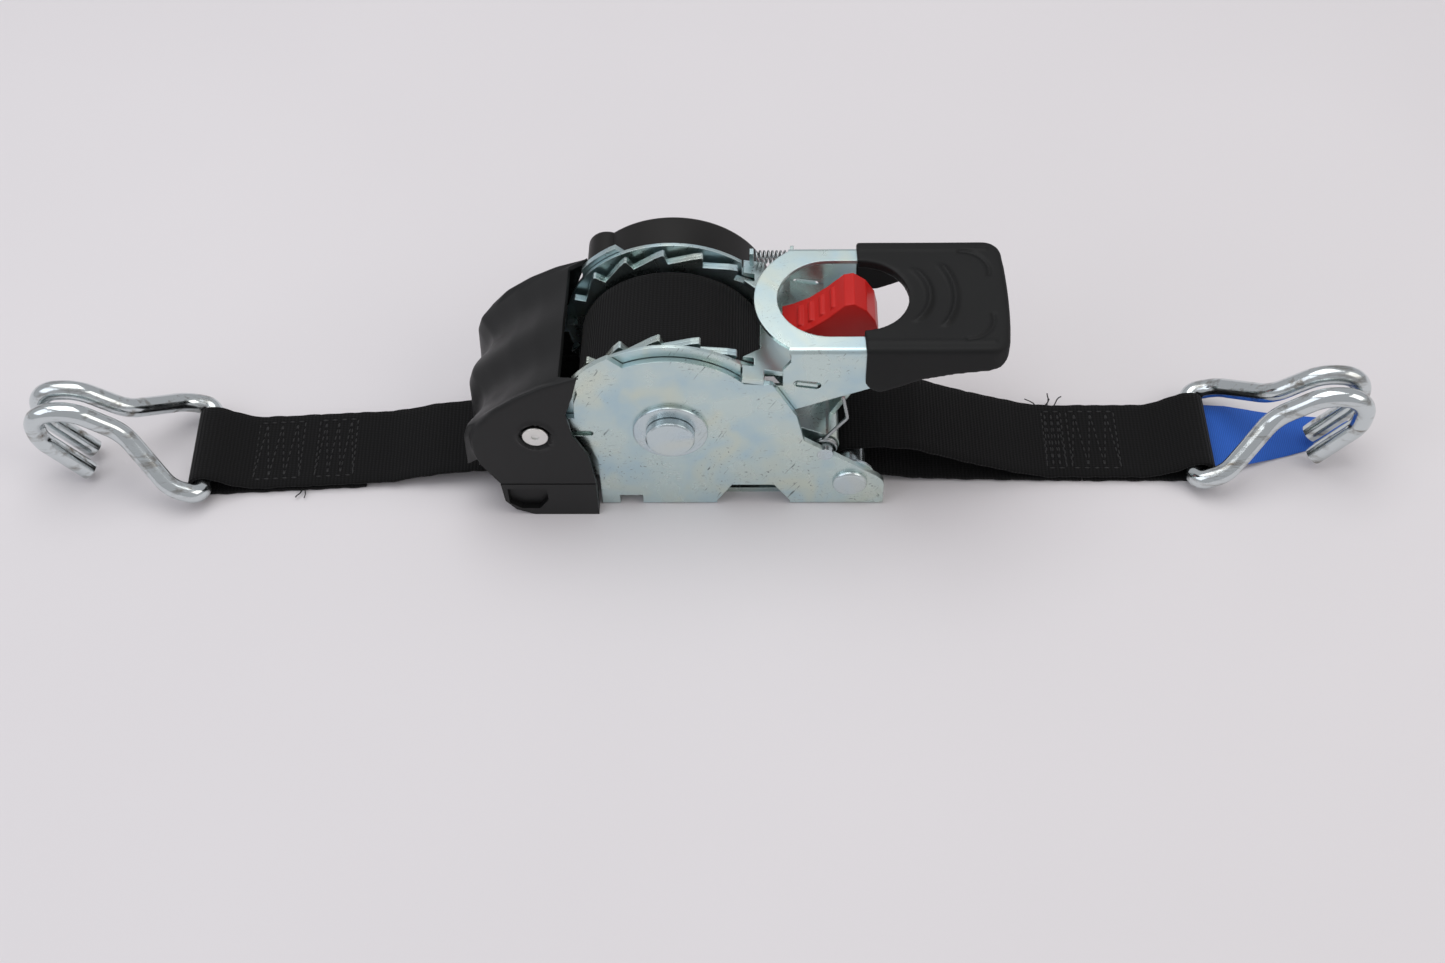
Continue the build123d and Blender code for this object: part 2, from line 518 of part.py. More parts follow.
def make_drive_pawl():
    """The sheet-steel pawl: an ear each side for the cam, noses over the wheels, a tongue for the trigger."""
    half_plan = [
        (44.0, 0.0), (44.0, SPOOL_GAP / 2 - 7.0), (PAWL_NOSE_X, SPOOL_GAP / 2 - 0.5), (PAWL_NOSE_X, EAR_OUT),
        (PAWL_NOSE_X + EAR_WIDTH, EAR_OUT), (PAWL_NOSE_X + EAR_WIDTH, HANDLE_INNER - 0.5),
        (59.0, HANDLE_INNER - 0.5), (59.0, SPOOL_GAP / 2 - 6.0), (66.0, 9.0), (82.0, 9.0), (82.0, 0.0),
    ]
    far_plan = [(x, -y) for x, y in reversed(half_plan[1:-1])]
    plan = make_face(Polyline(*half_plan, *far_plan, close=True))
    plate = extrude(plan, amount=-PAWL_PLATE)
    plate = on_pawl(Pos(-PAWL_NOSE_X, 0.0, 0.0) * plate)
    tip_clear = rod(TOOTH_TIP_RADIUS + 0.4, SPOOL_GAP / 2 - 0.6, WHEEL_OUT + 0.6)
    plate -= both_sides(tip_clear)
    plate -= trigger_rivet_rods()
    seat = block(PAWL_NOSE_X + 3.0, PAWL_NOSE_X + 5.0, FRAME_OUTER - 2.6, EAR_OUT,
                 pawl_line(PAWL_NOSE_X + 4.0, 0.6), 106.5)
    return plate + seat


TRIGGER_PROFILE = [
    (54.5, 0.25), (60.0, 97.6), (68.0, 102.0), (76.0, 109.0), (84.0, 117.6), (88.5, 118.6),
    (94.5, 114.0), (99.0, 106.5), (100.8, 98.0), (99.0, 93.6), (94.0, 92.6), (88.0, 96.0), (83.5, 93.5),
]


def make_trigger():
    """The trigger knob on the pawl's tongue: a ribbed ramp up to a thumb edge."""
    ramp = [(x, pawl_line(x, -0.3) if z < 1.0 else z) for x, z in TRIGGER_PROFILE]
    face = outline(*ramp, (83.5, pawl_line(83.5, -0.05)), (54.5, pawl_line(54.5, -0.05)))
    body = slab(face, -TRIGGER_HALF, TRIGGER_HALF)
    for rib in range(4):
        up_ramp = 3.5 + 5.2 * rib
        height = 97.6 + 0.45 * up_ramp + 0.0156 * up_ramp ** 2
        body += slab(disc(1.7, 60.0 + up_ramp, height - 0.5), -6.5, 6.5)
    keep_off = on_pawl(Box(46.9 * 2, 80.0, 2 * PAWL_PLATE + 2.0) - Pos(0.0, 0.0, PAWL_PLATE + 1.0) * Box(
        200.0, 90.0, 2 * PAWL_PLATE + 1.9))
    return body - keep_off - trigger_rivet_rods()


def make_trigger_rivets():
    """Two rivets that hold the trigger to the pawl's tongue."""
    return trigger_rivet_rods()


def make_pawl_spring():
    """The compression spring between the pawl's far ear and the handle's lug, as a stack of open coils."""
    start, end, coils = PAWL_NOSE_X + 5.2, SPRING_LUG_X - 0.2, 9
    spring = Part()
    for coil in range(coils):
        x = start + (end - start) * (coil + 0.5) / coils
        spring += Pos(x, HANDLE_OUTER + 3.7, 101.6) * Rot(0.0, 90.0, 0.0) * Torus(2.9, 0.55)
    spine = Pos((start + end) / 2, HANDLE_OUTER + 3.7, 101.6 + 2.9) * Rot(0.0, 90.0, 0.0) * Cylinder(
        0.4, end - start - 0.2)
    return spring + spine


# ---------------------------------------------------------------- holding pawl
def make_holding_pawl():
    """The pawl that holds the spool: an eye on its pin, a blade to the teeth and a finger tail."""
    reach = TOOTH_TIP_RADIUS + 0.4
    nose = polar(reach + 0.2, -8.0)
    half = WHEEL_OUT + 0.8
    eye = disc(7.0, HOLD_X, HOLD_Z)
    blade = outline(nose, (nose[0] + 2.6, nose[1] + 3.4), (HOLD_X + 1.5, HOLD_Z + 6.5), (HOLD_X - 5.0, HOLD_Z - 3.0))
    slope = radians(62.0)
    tail_x, tail_z = HOLD_X + 4.0, HOLD_Z + 4.5
    end_x, end_z = tail_x + HOLD_TAIL_LENGTH * cos(slope), tail_z + HOLD_TAIL_LENGTH * sin(slope)
    tail = outline((tail_x - 2.5, tail_z), (end_x - 2.5, end_z), (end_x, end_z), (tail_x, tail_z - 1.0))
    bore = rod(HOLD_PIN_RADIUS + RUN_GAP, -FRAME_OUTER, FRAME_OUTER, HOLD_X, HOLD_Z)
    body = slab(eye + blade, -half, half) + slab(tail, -16.0, 16.0)
    body -= block(HOLD_X - 8.0, HOLD_X + 8.0, -half + 8.0, half - 8.0, HOLD_Z - 8.0, HOLD_Z + 1.0)
    body -= bore
    return body - rod(reach, -FRAME_OUTER, FRAME_OUTER)


def make_holding_pin():
    """The holding pawl's pin, riveted into both side plates."""
    return rod(HOLD_PIN_RADIUS, -FRAME_OUTER, FRAME_OUTER, HOLD_X, HOLD_Z)


def make_holding_spring():
    """The wire spring on the holding pin: two coils and a leg that stands up behind the handle."""
    y = -WHEEL_OUT - 2.6
    coils = Part()
    for turn in range(2):
        coils += Pos(HOLD_X, y + 1.2 * turn - 0.6, HOLD_Z) * Rot(90.0, 0.0, 0.0) * Torus(5.4, 0.7)
    path = FilletPolyline((HOLD_X - 1.0, y, HOLD_Z + 5.4), (HOLD_X + 10.5, y, 62.0), (HOLD_X + 8.0, y, 77.0),
                          radius=3.0)
    leg = sweep(Plane(origin=path @ 0, z_dir=path % 0) * Circle(0.9), path=path)
    return coils + leg


# ---------------------------------------------------------------- cross pin
def make_cross_pin():
    """The riveted pin that anchors the fixed strap."""
    pin = rod(CROSS_PIN_RADIUS, -FRAME_OUTER, FRAME_OUTER, CROSS_X, CROSS_Z)
    head = rod(CROSS_HEAD_RADIUS, FRAME_OUTER, FRAME_OUTER + 2.4, CROSS_X, CROSS_Z)
    head = fillet(head.edges().sort_by(Axis.Y)[-1], 1.8)
    return pin + head + mirror(head, about=Plane.XZ)


def make_cross_sleeve():
    """The spacer tube on the cross pin that the strap turns on."""
    half = FRAME_INNER - CROSS_WASHER - 0.1
    tube = rod(SLEEVE_RADIUS, -half, half, CROSS_X, CROSS_Z)
    return tube - rod(CROSS_PIN_RADIUS, -half, half, CROSS_X, CROSS_Z)


def make_cross_washers():
    """A washer inside each side plate on the cross pin."""
    washer = rod(CROSS_WASHER_RADIUS, FRAME_INNER - CROSS_WASHER, FRAME_INNER, CROSS_X, CROSS_Z)
    washer -= rod(CROSS_PIN_RADIUS, FRAME_INNER - 2 * CROSS_WASHER, FRAME_INNER, CROSS_X, CROSS_Z)
    return both_sides(washer)


# ---------------------------------------------------------------- webbing
def web(face):
    """A webbing outline given the strap's width."""
    return slab(face, -WEB_WIDTH / 2, WEB_WIDTH / 2)


def ribbon(points, thick=WEB_THICK):
    """A webbing layer that follows points in X and Z with its thickness below them."""
    return outline(*points, *[(x, z - thick) for x, z in reversed(points)])


def hook_loop(bar_x, side):
    """The folded loop round a hook's bar, closed towards the strap: side is +1 when it opens to +X."""
    inner_end = bar_x - side * 4.0
    outer = disc(LOOP_OUTER, bar_x, BAR_Z) + disc(LOOP_OUTER, inner_end, BAR_Z)
    outer += outline((bar_x, BAR_Z - LOOP_OUTER), (bar_x, BAR_Z + LOOP_OUTER),
                     (inner_end, BAR_Z + LOOP_OUTER), (inner_end, BAR_Z - LOOP_OUTER))
    throat_x = inner_end - side * 14.0
    outer += outline((inner_end, BAR_Z + LOOP_OUTER), (throat_x, 2 * WEB_THICK + 0.6), (throat_x, 0.2),
                     (inner_end, 0.2))
    inner = disc(LOOP_INNER, bar_x, BAR_Z) + disc(LOOP_INNER, inner_end, BAR_Z)
    inner += outline((bar_x, BAR_Z - LOOP_INNER), (bar_x, BAR_Z + LOOP_INNER),
                     (inner_end, BAR_Z + LOOP_INNER), (inner_end, BAR_Z - LOOP_INNER))
    return outer - inner


def askew(shape):
    """A shape turned with the payout strap, which lies a little askew outside the guard."""
    return Pos(MOUTH_X, 0.0, 0.0) * Rot(0.0, 0.0, PAYOUT_YAW) * Pos(-MOUTH_X, 0.0, 0.0) * shape


PAYOUT_BAR_X = PAYOUT_FOLD_X + LOOP_OUTER
ANCHOR_LOOP_X = ANCHOR_FOLD_X - LOOP_OUTER
ANCHOR_BAR_X = ANCHOR_LOOP_X - 1.8      # the askew bar sits a little back from the fold
STITCH_LAYERS = 2 * WEB_THICK + 0.6


def make_payout_strap():
    """The strap that pays out: a tail under the roll, the run to the hook and the sewn loop."""
    tail = [(PAYOUT_TRAVEL + 4.0, TAIL_TOP), (MOUTH_X + 6.0, TAIL_TOP)]
    run = [(MOUTH_X + 6.0, TAIL_TOP), (MOUTH_X - 2.0, TAIL_TOP), (-125.0, 9.6), (-150.0, STITCH_LAYERS)]
    sewn = outline((-148.0, 0.2), (-150.0, STITCH_LAYERS), (PAYOUT_BAR_X + 17.0, STITCH_LAYERS),
                   (PAYOUT_BAR_X + 17.0, 0.2))
    outer = web(ribbon(run)) + web(sewn) + web(hook_loop(PAYOUT_BAR_X, -1))
    return web(ribbon(tail)) + askew(outer)


def make_anchor_strap():
    """The fixed strap: a loop on the cross pin's sleeve, two layers, and the sewn loop at the hook."""
    inside = SLEEVE_RADIUS + 0.3
    outside = inside + WEB_THICK
    eye = disc(outside, CROSS_X, CROSS_Z) - disc(inside, CROSS_X, CROSS_Z)
    upper = [(CROSS_X + 3.0, CROSS_Z + outside - 0.3), (104.0, 30.6), (122.0, 28.5), (150.0, 17.5), (178.0, 8.4),
             (192.0, STITCH_LAYERS)]
    lower = [(192.0, WEB_THICK + 0.2), (150.0, 3.9), (122.0, 5.2), (CROSS_X + 3.0, CROSS_Z - inside + 0.3)]
    sewn = outline((190.0, 0.2), (190.0, STITCH_LAYERS), (ANCHOR_LOOP_X - 17.0, STITCH_LAYERS),
                   (ANCHOR_LOOP_X - 17.0, 0.2))
    face = eye + ribbon(upper) + ribbon(lower) + sewn + hook_loop(ANCHOR_LOOP_X, 1)
    face -= disc(inside, CROSS_X, CROSS_Z)
    return web(face)


# ---------------------------------------------------------------- hooks and tag
def make_hook(bar_x, side, yaw, under_tips):
    """A double-claw wire hook: a bar in the strap's loop and two legs that close into claws."""
    tip_rise = WIRE_RADIUS + under_tips - BAR_Z
    path = FilletPolyline(
        (0.0, 0.0, 0.0), (0.0, HOOK_HALF, 0.0), (14.0, HOOK_HALF - 1.0, 6.5), (36.0, HOOK_THROAT_HALF + 0.5, 27.0),
        (57.0, HOOK_THROAT_HALF, HOOK_RISE), (HOOK_REACH, HOOK_THROAT_HALF, HOOK_RISE),
        (HOOK_REACH, HOOK_THROAT_HALF, 24.0), (62.0, HOOK_THROAT_HALF, tip_rise),
        radius=[HOOK_BEND, 18.0, 24.0, 22.0, 12.0, 18.0],
    )
    half = sweep(Plane(origin=path @ 0, z_dir=path % 0) * Circle(WIRE_RADIUS), path=path)
    hook = half + mirror(half, about=Plane.XZ)
    facing = 0.0 if side > 0 else 180.0
    return Pos(bar_x, 0.0, BAR_Z) * Rot(0.0, 0.0, facing + yaw) * hook


def make_tag():
    """The plain sewn-in tag: it leaves the loop over its lower layer and lies under the anchor hook's tips."""
    start = ANCHOR_FOLD_X + 0.3
    top = [(start, 4.4), (start + 14.0, 3.4), (start + 34.0, TAG_THICK + 0.2), (start + TAG_LENGTH, TAG_THICK + 0.2)]
    near, far = TAG_SHIFT - TAG_WIDTH / 2, TAG_SHIFT + TAG_WIDTH / 2
    strip = slab(ribbon(top, TAG_THICK), near, far)
    plan = make_face(Polyline((start, near), (start, far), (start + 30.0, far - 1.0), (start + TAG_LENGTH, TAG_SHIFT + 12.0),
                              (start + TAG_LENGTH, TAG_SHIFT + 1.0), (start + 40.0, near + 3.0), close=True))
    return strip & extrude(plan, amount=20.0)


# ---------------------------------------------------------------- assembly
nodes["frame"] = make_frame()
nodes["spool_axle"] = make_axle()
nodes["axle_bushes"] = make_bushes()
for leaf, name in enumerate(("near_outer", "near_inner", "far_inner", "far_outer")):
    nodes["ratchet_wheel_" + name] = make_wheel_leaf(leaf)
nodes["spool_core"] = make_spool_core()
nodes["webbing_roll"] = make_webbing_roll()
nodes["guard_hood"] = make_guard_hood()
nodes["guard_base"] = make_guard_base()
nodes["guard_rivet_rod"] = make_guard_rivets()
nodes["guide_roller"] = make_guide_roller()
nodes["recoil_plate"] = make_recoil_plate()
nodes["recoil_cover"] = make_recoil_cover()
nodes["recoil_screws"] = make_recoil_screws()
nodes["recoil_hub"] = make_recoil_hub()
nodes["recoil_spring"] = make_recoil_spring()
nodes["handle_frame"] = make_handle_frame() + make_spring_lug()
nodes["pawl_bracket"] = make_pawl_bracket()
nodes["handle_grip"] = make_grip() - nodes["handle_frame"]
nodes["drive_pawl"] = make_drive_pawl()
nodes["trigger"] = make_trigger()
nodes["trigger_rivets"] = make_trigger_rivets()
nodes["pawl_spring"] = make_pawl_spring()
nodes["holding_pawl"] = make_holding_pawl()
nodes["holding_pin"] = make_holding_pin()
nodes["holding_spring"] = make_holding_spring()
nodes["cross_pin"] = make_cross_pin()
nodes["cross_sleeve"] = make_cross_sleeve()
nodes["cross_washers"] = make_cross_washers()
nodes["payout_strap"] = make_payout_strap()
nodes["payout_hook"] = askew(make_hook(PAYOUT_BAR_X, -1, 0.0, 0.1))
nodes["anchor_strap"] = make_anchor_strap()
nodes["anchor_hook"] = make_hook(ANCHOR_BAR_X, 1, ANCHOR_HOOK_YAW, TAG_THICK + 0.5)
nodes["label_tag"] = make_tag()

boxes = [shape.bounding_box() for shape in nodes.values()]
centre_x = (min(b.min.X for b in boxes) + max(b.max.X for b in boxes)) / 2
centre_y = (min(b.min.Y for b in boxes) + max(b.max.Y for b in boxes)) / 2
CENTRE = Pos(-centre_x, -centre_y, -min(b.min.Z for b in boxes))

os.makedirs("parts", exist_ok=True)
for name, shape in nodes.items():
    export_step(CENTRE * shape, "parts/" + name + ".step")
print("centred by", round(centre_x, 4), round(centre_y, 4), round(min(b.min.Z for b in boxes), 4))
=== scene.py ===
"""The looks of a self-winding ratchet tie down with a wire claw hook on each strap.

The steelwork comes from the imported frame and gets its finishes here. The webbing, the moulded guard, grip and
trigger, the springs, the stitching and the tag are made here, in the same frame.
"""
from __future__ import annotations

import json
import logging
import math
import random
from dataclasses import dataclass, field
from enum import Enum
from typing import Callable, Iterable, Sequence

import bmesh
import bpy
from mathutils import Matrix, Vector

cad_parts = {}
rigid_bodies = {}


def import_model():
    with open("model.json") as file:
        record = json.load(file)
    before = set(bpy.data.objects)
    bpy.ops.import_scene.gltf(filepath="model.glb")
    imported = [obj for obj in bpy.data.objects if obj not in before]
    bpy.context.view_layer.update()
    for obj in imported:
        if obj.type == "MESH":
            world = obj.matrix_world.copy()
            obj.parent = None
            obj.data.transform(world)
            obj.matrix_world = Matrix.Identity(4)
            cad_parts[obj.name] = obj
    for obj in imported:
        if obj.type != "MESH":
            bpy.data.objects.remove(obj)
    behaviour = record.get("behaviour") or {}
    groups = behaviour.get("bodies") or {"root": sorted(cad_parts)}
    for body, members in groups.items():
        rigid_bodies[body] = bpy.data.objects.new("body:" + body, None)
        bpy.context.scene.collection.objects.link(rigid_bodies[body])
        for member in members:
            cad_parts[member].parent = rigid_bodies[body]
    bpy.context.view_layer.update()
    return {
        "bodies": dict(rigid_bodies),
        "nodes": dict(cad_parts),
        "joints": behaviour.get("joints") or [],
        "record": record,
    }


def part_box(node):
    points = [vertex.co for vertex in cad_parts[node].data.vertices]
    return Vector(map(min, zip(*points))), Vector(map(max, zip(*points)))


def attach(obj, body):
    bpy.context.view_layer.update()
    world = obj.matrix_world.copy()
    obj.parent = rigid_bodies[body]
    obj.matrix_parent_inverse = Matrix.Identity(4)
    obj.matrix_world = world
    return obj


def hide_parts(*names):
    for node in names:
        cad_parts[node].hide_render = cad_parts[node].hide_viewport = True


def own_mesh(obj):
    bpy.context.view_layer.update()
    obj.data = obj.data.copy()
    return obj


LOG = logging.getLogger("tie_down")
MM = 0.001
WAVE_PITCH = math.pi / 10    # a wave texture at scale 1 repeats every pi / 10
Point = tuple[float, float]
Place = tuple[float, float, float]


# ------------------------------------------------------------------------------------------ places
@dataclass(frozen=True)
class Bench:
    """The design's own millimetres: the axle stands over X = 0, the strap's centre plane is Y = 0, the floor Z = 0."""

    origin: Vector

    @classmethod
    def from_frame(cls) -> "Bench":
        """Finds the design's origin from the axle and the steel frame.

        Returns:
            The bench whose origin is under the axle's middle.
        """
        axle_low, axle_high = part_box("spool_axle")
        frame_low, frame_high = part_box("frame")
        return cls(Vector(((axle_low.x + axle_high.x) / 2, (frame_low.y + frame_high.y) / 2, 0.0)))

    def at(self, x: float, y: float, z: float) -> Vector:
        """Turns design millimetres into a place in the frame, in metres."""
        return self.origin + Vector((x, y, z)) * MM


def mesh_object(name: str, bm: bmesh.types.BMesh, material: bpy.types.Material,
                smooth: bool = True) -> bpy.types.Object:
    """Writes a bmesh to a new object at the origin.

    Args:
        name: The piece's name.
        bm: The finished bmesh, which is freed.
        material: The piece's one material.
        smooth: Whether the faces are shaded smooth.

    Returns:
        The new object.
    """
    mesh = bpy.data.meshes.new(name)
    bm.to_mesh(mesh)
    bm.free()
    mesh.materials.append(material)
    mesh.shade_smooth() if smooth else mesh.shade_flat()
    obj = bpy.data.objects.new(name, mesh)
    bpy.context.scene.collection.objects.link(obj)
    return obj


def give_wall(obj: bpy.types.Object, name: str, thickness_mm: float, offset: float) -> None:
    """Gives a surface its thickness: offset is 0 for both sides alike and -1 for inwards."""
    wall = obj.modifiers.new(name, "SOLIDIFY")
    wall.thickness = thickness_mm * MM
    wall.offset = offset


def round_edges(obj: bpy.types.Object, name: str, width_mm: float, segments: int, over_degrees: float) -> None:
    """Rounds the edges that are sharper than an angle."""
    rim = obj.modifiers.new(name, "BEVEL")
    rim.width = width_mm * MM
    rim.segments = segments
    rim.limit_method = "ANGLE"
    rim.angle_limit = math.radians(over_degrees)


def smooth_rounds(bm: bmesh.types.BMesh, verts: Sequence[bmesh.types.BMVert], rounds: int) -> None:
    """Moves vertices halfway to their neighbours' middle, as many times as asked."""
    for _ in range(rounds):
        bmesh.ops.smooth_vert(bm, verts=verts, factor=0.5, use_axis_x=True, use_axis_y=True, use_axis_z=True)


def as_laid(x: float, y: float, z: float) -> Place:
    """Leaves a place as it is."""
    return (x, y, z)


def bake_modifiers(obj: bpy.types.Object) -> None:
    """Replaces a piece's mesh with what its modifiers make of it."""
    graph = bpy.context.evaluated_depsgraph_get()
    baked = bpy.data.meshes.new_from_object(obj.evaluated_get(graph))
    obj.modifiers.clear()
    obj.data = baked


def resample(points: Sequence[Point], step: float, rounds: int) -> list[Point]:
    """Spaces points evenly along a line and eases its corners.

    Args:
        points: The line's corners, in millimetres.
        step: The spacing.
        rounds: How many times each point moves halfway to its neighbours' middle.

    Returns:
        The eased line.
    """
    spaced: list[Point] = [points[0]]
    for start, end in zip(points, points[1:]):
        run = math.dist(start, end)
        count = max(1, round(run / step))
        spaced += [
            (start[0] + (end[0] - start[0]) * i / count, start[1] + (end[1] - start[1]) * i / count)
            for i in range(1, count + 1)
        ]
    for _ in range(rounds):
        middle = [
            ((a[0] + 2 * b[0] + c[0]) / 4, (a[1] + 2 * b[1] + c[1]) / 4)
            for a, b, c in zip(spaced, spaced[1:], spaced[2:])
        ]
        spaced = [spaced[0], *middle, spaced[-1]]
    return spaced


def arc(centre: Point, radius: float, start: float, end: float, steps: int = 16) -> list[Point]:
    """Points on an arc in X and Z, with its angles in degrees from +X towards +Z."""
    turn = [math.radians(start + (end - start) * i / steps) for i in range(steps + 1)]
    return [(centre[0] + radius * math.cos(a), centre[1] + radius * math.sin(a)) for a in turn]


# ------------------------------------------------------------------------------------------ materials
def linear(code: str) -> tuple[float, float, float, float]:
    """Turns an sRGB hex colour into the linear values that a shader takes."""
    parts = [int(code[i:i + 2], 16) / 255 for i in (0, 2, 4)]
    parts = [c / 12.92 if c <= 0.04045 else ((c + 0.055) / 1.055) ** 2.4 for c in parts]
    return (*parts, 1.0)


def add(tree: bpy.types.NodeTree, kind: str, inputs: dict | None = None, **settings) -> bpy.types.Node:
    """Adds a node with its settings and links.

    Args:
        tree: The node tree.
        kind: The node's type name.
        inputs: Input name or number to a value, or to the output socket that feeds it.
        settings: Attributes of the node.

    Returns:
        The new node.
    """
    node = tree.nodes.new(kind)
    for key, value in settings.items():
        setattr(node, key, value)
    for key, value in (inputs or {}).items():
        socket = node.inputs[key]
        if isinstance(value, bpy.types.NodeSocket):
            tree.links.new(value, socket)
        else:
            socket.default_value = value
    return node


def blank_material(name: str) -> tuple[bpy.types.Material, bpy.types.NodeTree]:
    """A material with an empty node tree."""
    material = bpy.data.materials.new(name)
    material.use_nodes = True
    material.node_tree.nodes.clear()
    return material, material.node_tree


def close_material(tree: bpy.types.NodeTree, inputs: dict) -> None:
    """Ends a tree in one surface shader with the given inputs."""
    shader = add(tree, "ShaderNodeBsdfPrincipled", inputs)
    add(tree, "ShaderNodeOutputMaterial", {"Surface": shader.outputs["BSDF"]})


def per_metre(size_mm: float) -> float:
    """The texture scale on metre coordinates that makes one feature size_mm wide."""
    return 1000.0 / size_mm


def ramp(tree: bpy.types.NodeTree, factor: bpy.types.NodeSocket, low: float, high: float,
         first: str, second: str) -> bpy.types.NodeSocket:
    """Blends two sRGB hex colours as a factor goes from low to high.

    Returns:
        The blended colour's socket.
    """
    share = add(tree, "ShaderNodeMapRange", {0: factor, 1: low, 2: high}).outputs[0]
    mix = add(tree, "ShaderNodeMix", {0: share, 6: linear(first), 7: linear(second)}, data_type="RGBA")
    return mix.outputs[2]


@dataclass(frozen=True)
class ZincPlate:
    """Bright zinc plating on pressed sheet steel: cloudy, faintly iridescent, with handling scratches."""

    name: str = "zinc_plated_sheet"
    base: str = "CDDDDA"
    blue_tint: str = "BDD5DC"
    straw_tint: str = "D9DFCF"
    roughness: float = 0.28
    cloud_mm: float = 22.0
    scratch_mm: float = 1.1
    scratch_depth_mm: float = 0.05
    grime: float = 0.85
    worn: str = "687173"
    patch_mm: float = 34.0       # where handling marks gather
    edge_mm: float = 0.6

    def make(self) -> bpy.types.Material:
        """Builds the material."""
        material, tree = blank_material(self.name)
        place = add(tree, "ShaderNodeTexCoord").outputs["Object"]
        cloud = add(tree, "ShaderNodeTexNoise", {"Vector": place, "Scale": per_metre(self.cloud_mm), "Detail": 3.0})
        film = add(tree, "ShaderNodeTexNoise",
                   {"Vector": place, "Scale": per_metre(self.cloud_mm * 1.7), "Detail": 2.0, "Distortion": 1.2})
        tint = ramp(tree, cloud.outputs[0], 0.42, 0.68, self.base, self.blue_tint)
        warm = add(tree, "ShaderNodeMapRange", {0: film.outputs[0], 1: 0.52, 2: 0.72, 4: 0.75}).outputs[0]
        colour = add(tree, "ShaderNodeMix", {0: warm, 6: tint, 7: linear(self.straw_tint)}, data_type="RGBA").outputs[2]
        marks = []
        for turn, seed in ((0.5, 0.0), (-0.7, 0.4), (1.45, 0.9)):
            across = add(tree, "ShaderNodeMapping", {
                "Vector": place, "Rotation": (turn * 0.4, turn, turn * 0.6), "Location": (seed, seed, 0.0),
                "Scale": (1.0, 1.0, 14.0)}, vector_type="TEXTURE")
            line = add(tree, "ShaderNodeTexNoise", {
                "Vector": across.outputs[0], "Scale": per_metre(self.scratch_mm), "Detail": 2.0,
                "Roughness": 0.6, "Distortion": 0.6})
            marks.append(add(tree, "ShaderNodeMapRange", {0: line.outputs[0], 1: 0.66, 2: 0.72}).outputs[0])
        both = add(tree, "ShaderNodeMath", {0: marks[0], 1: marks[1]}, operation="MAXIMUM").outputs[0]
        scratch = add(tree, "ShaderNodeMath", {0: both, 1: marks[2]}, operation="MAXIMUM").outputs[0]
        patch = add(tree, "ShaderNodeTexNoise", {
            "Vector": place, "Scale": per_metre(self.patch_mm), "Detail": 1.0}).outputs[0]
        where = add(tree, "ShaderNodeMapRange", {0: patch, 1: 0.46, 2: 0.60, 4: self.grime}).outputs[0]
        mark = add(tree, "ShaderNodeMath", {0: scratch, 1: where}, operation="MULTIPLY").outputs[0]
        worn = add(tree, "ShaderNodeMix", {0: mark, 6: colour, 7: linear(self.worn)}, data_type="RGBA").outputs[2]
        rough = add(tree, "ShaderNodeMapRange", {
            0: cloud.outputs[0], 1: 0.3, 2: 0.7, 3: self.roughness - 0.06, 4: self.roughness + 0.10}).outputs[0]
        grain = add(tree, "ShaderNodeTexNoise", {"Vector": place, "Scale": per_metre(0.5), "Detail": 2.0}).outputs[0]
        relief = add(tree, "ShaderNodeMath", {0: grain, 1: mark}, operation="SUBTRACT").outputs[0]
        edge = add(tree, "ShaderNodeBevel", {"Radius": self.edge_mm * MM}, samples=4).outputs[0]
        bump = add(tree, "ShaderNodeBump", {
            "Strength": 0.22, "Distance": self.scratch_depth_mm * MM, "Height": relief, "Normal": edge}).outputs[0]
        close_material(tree, {"Base Color": worn, "Metallic": 1.0, "Roughness": rough, "Normal": bump})
        return material


@dataclass(frozen=True)
class ZincWire:
    """Zinc-plated drawn bar: brighter than the sheet, with long brownish streaks where dies and bending marked it,
    darkened further as painted dark reflection.
    """

    name: str = "zinc_plated_wire"
    base: str = "D3DADB"
    # the streak colour is partly real die marks and partly painted dark reflection
    streak: str = "746C60"
    roughness: float = 0.13
    streak_mm: float = 5.0

    def make(self) -> bpy.types.Material:
        """Builds the material."""
        material, tree = blank_material(self.name)
        place = add(tree, "ShaderNodeTexCoord").outputs["Object"]
        along = add(tree, "ShaderNodeMapping", {"Vector": place, "Scale": (0.18, 1.0, 1.0)}).outputs[0]
        streaks = add(tree, "ShaderNodeTexNoise", {
            "Vector": along, "Scale": per_metre(self.streak_mm), "Detail": 4.0, "Roughness": 0.62}).outputs[0]
        # streaks darken the wire: die marks, and painted reflection of dark surroundings
        colour = ramp(tree, streaks, 0.52, 0.74, self.base, self.streak)
        rough = add(tree, "ShaderNodeMapRange", {
            0: streaks, 1: 0.4, 2: 0.75, 3: self.roughness - 0.03, 4: self.roughness + 0.2}).outputs[0]
        grain = add(tree, "ShaderNodeTexNoise", {"Vector": place, "Scale": per_metre(0.8), "Detail": 2.0}).outputs[0]
        bump = add(tree, "ShaderNodeBump", {"Strength": 0.12, "Distance": 0.05 * MM, "Height": grain}).outputs[0]
        close_material(tree, {"Base Color": colour, "Metallic": 1.0, "Roughness": rough, "Normal": bump})
        return material


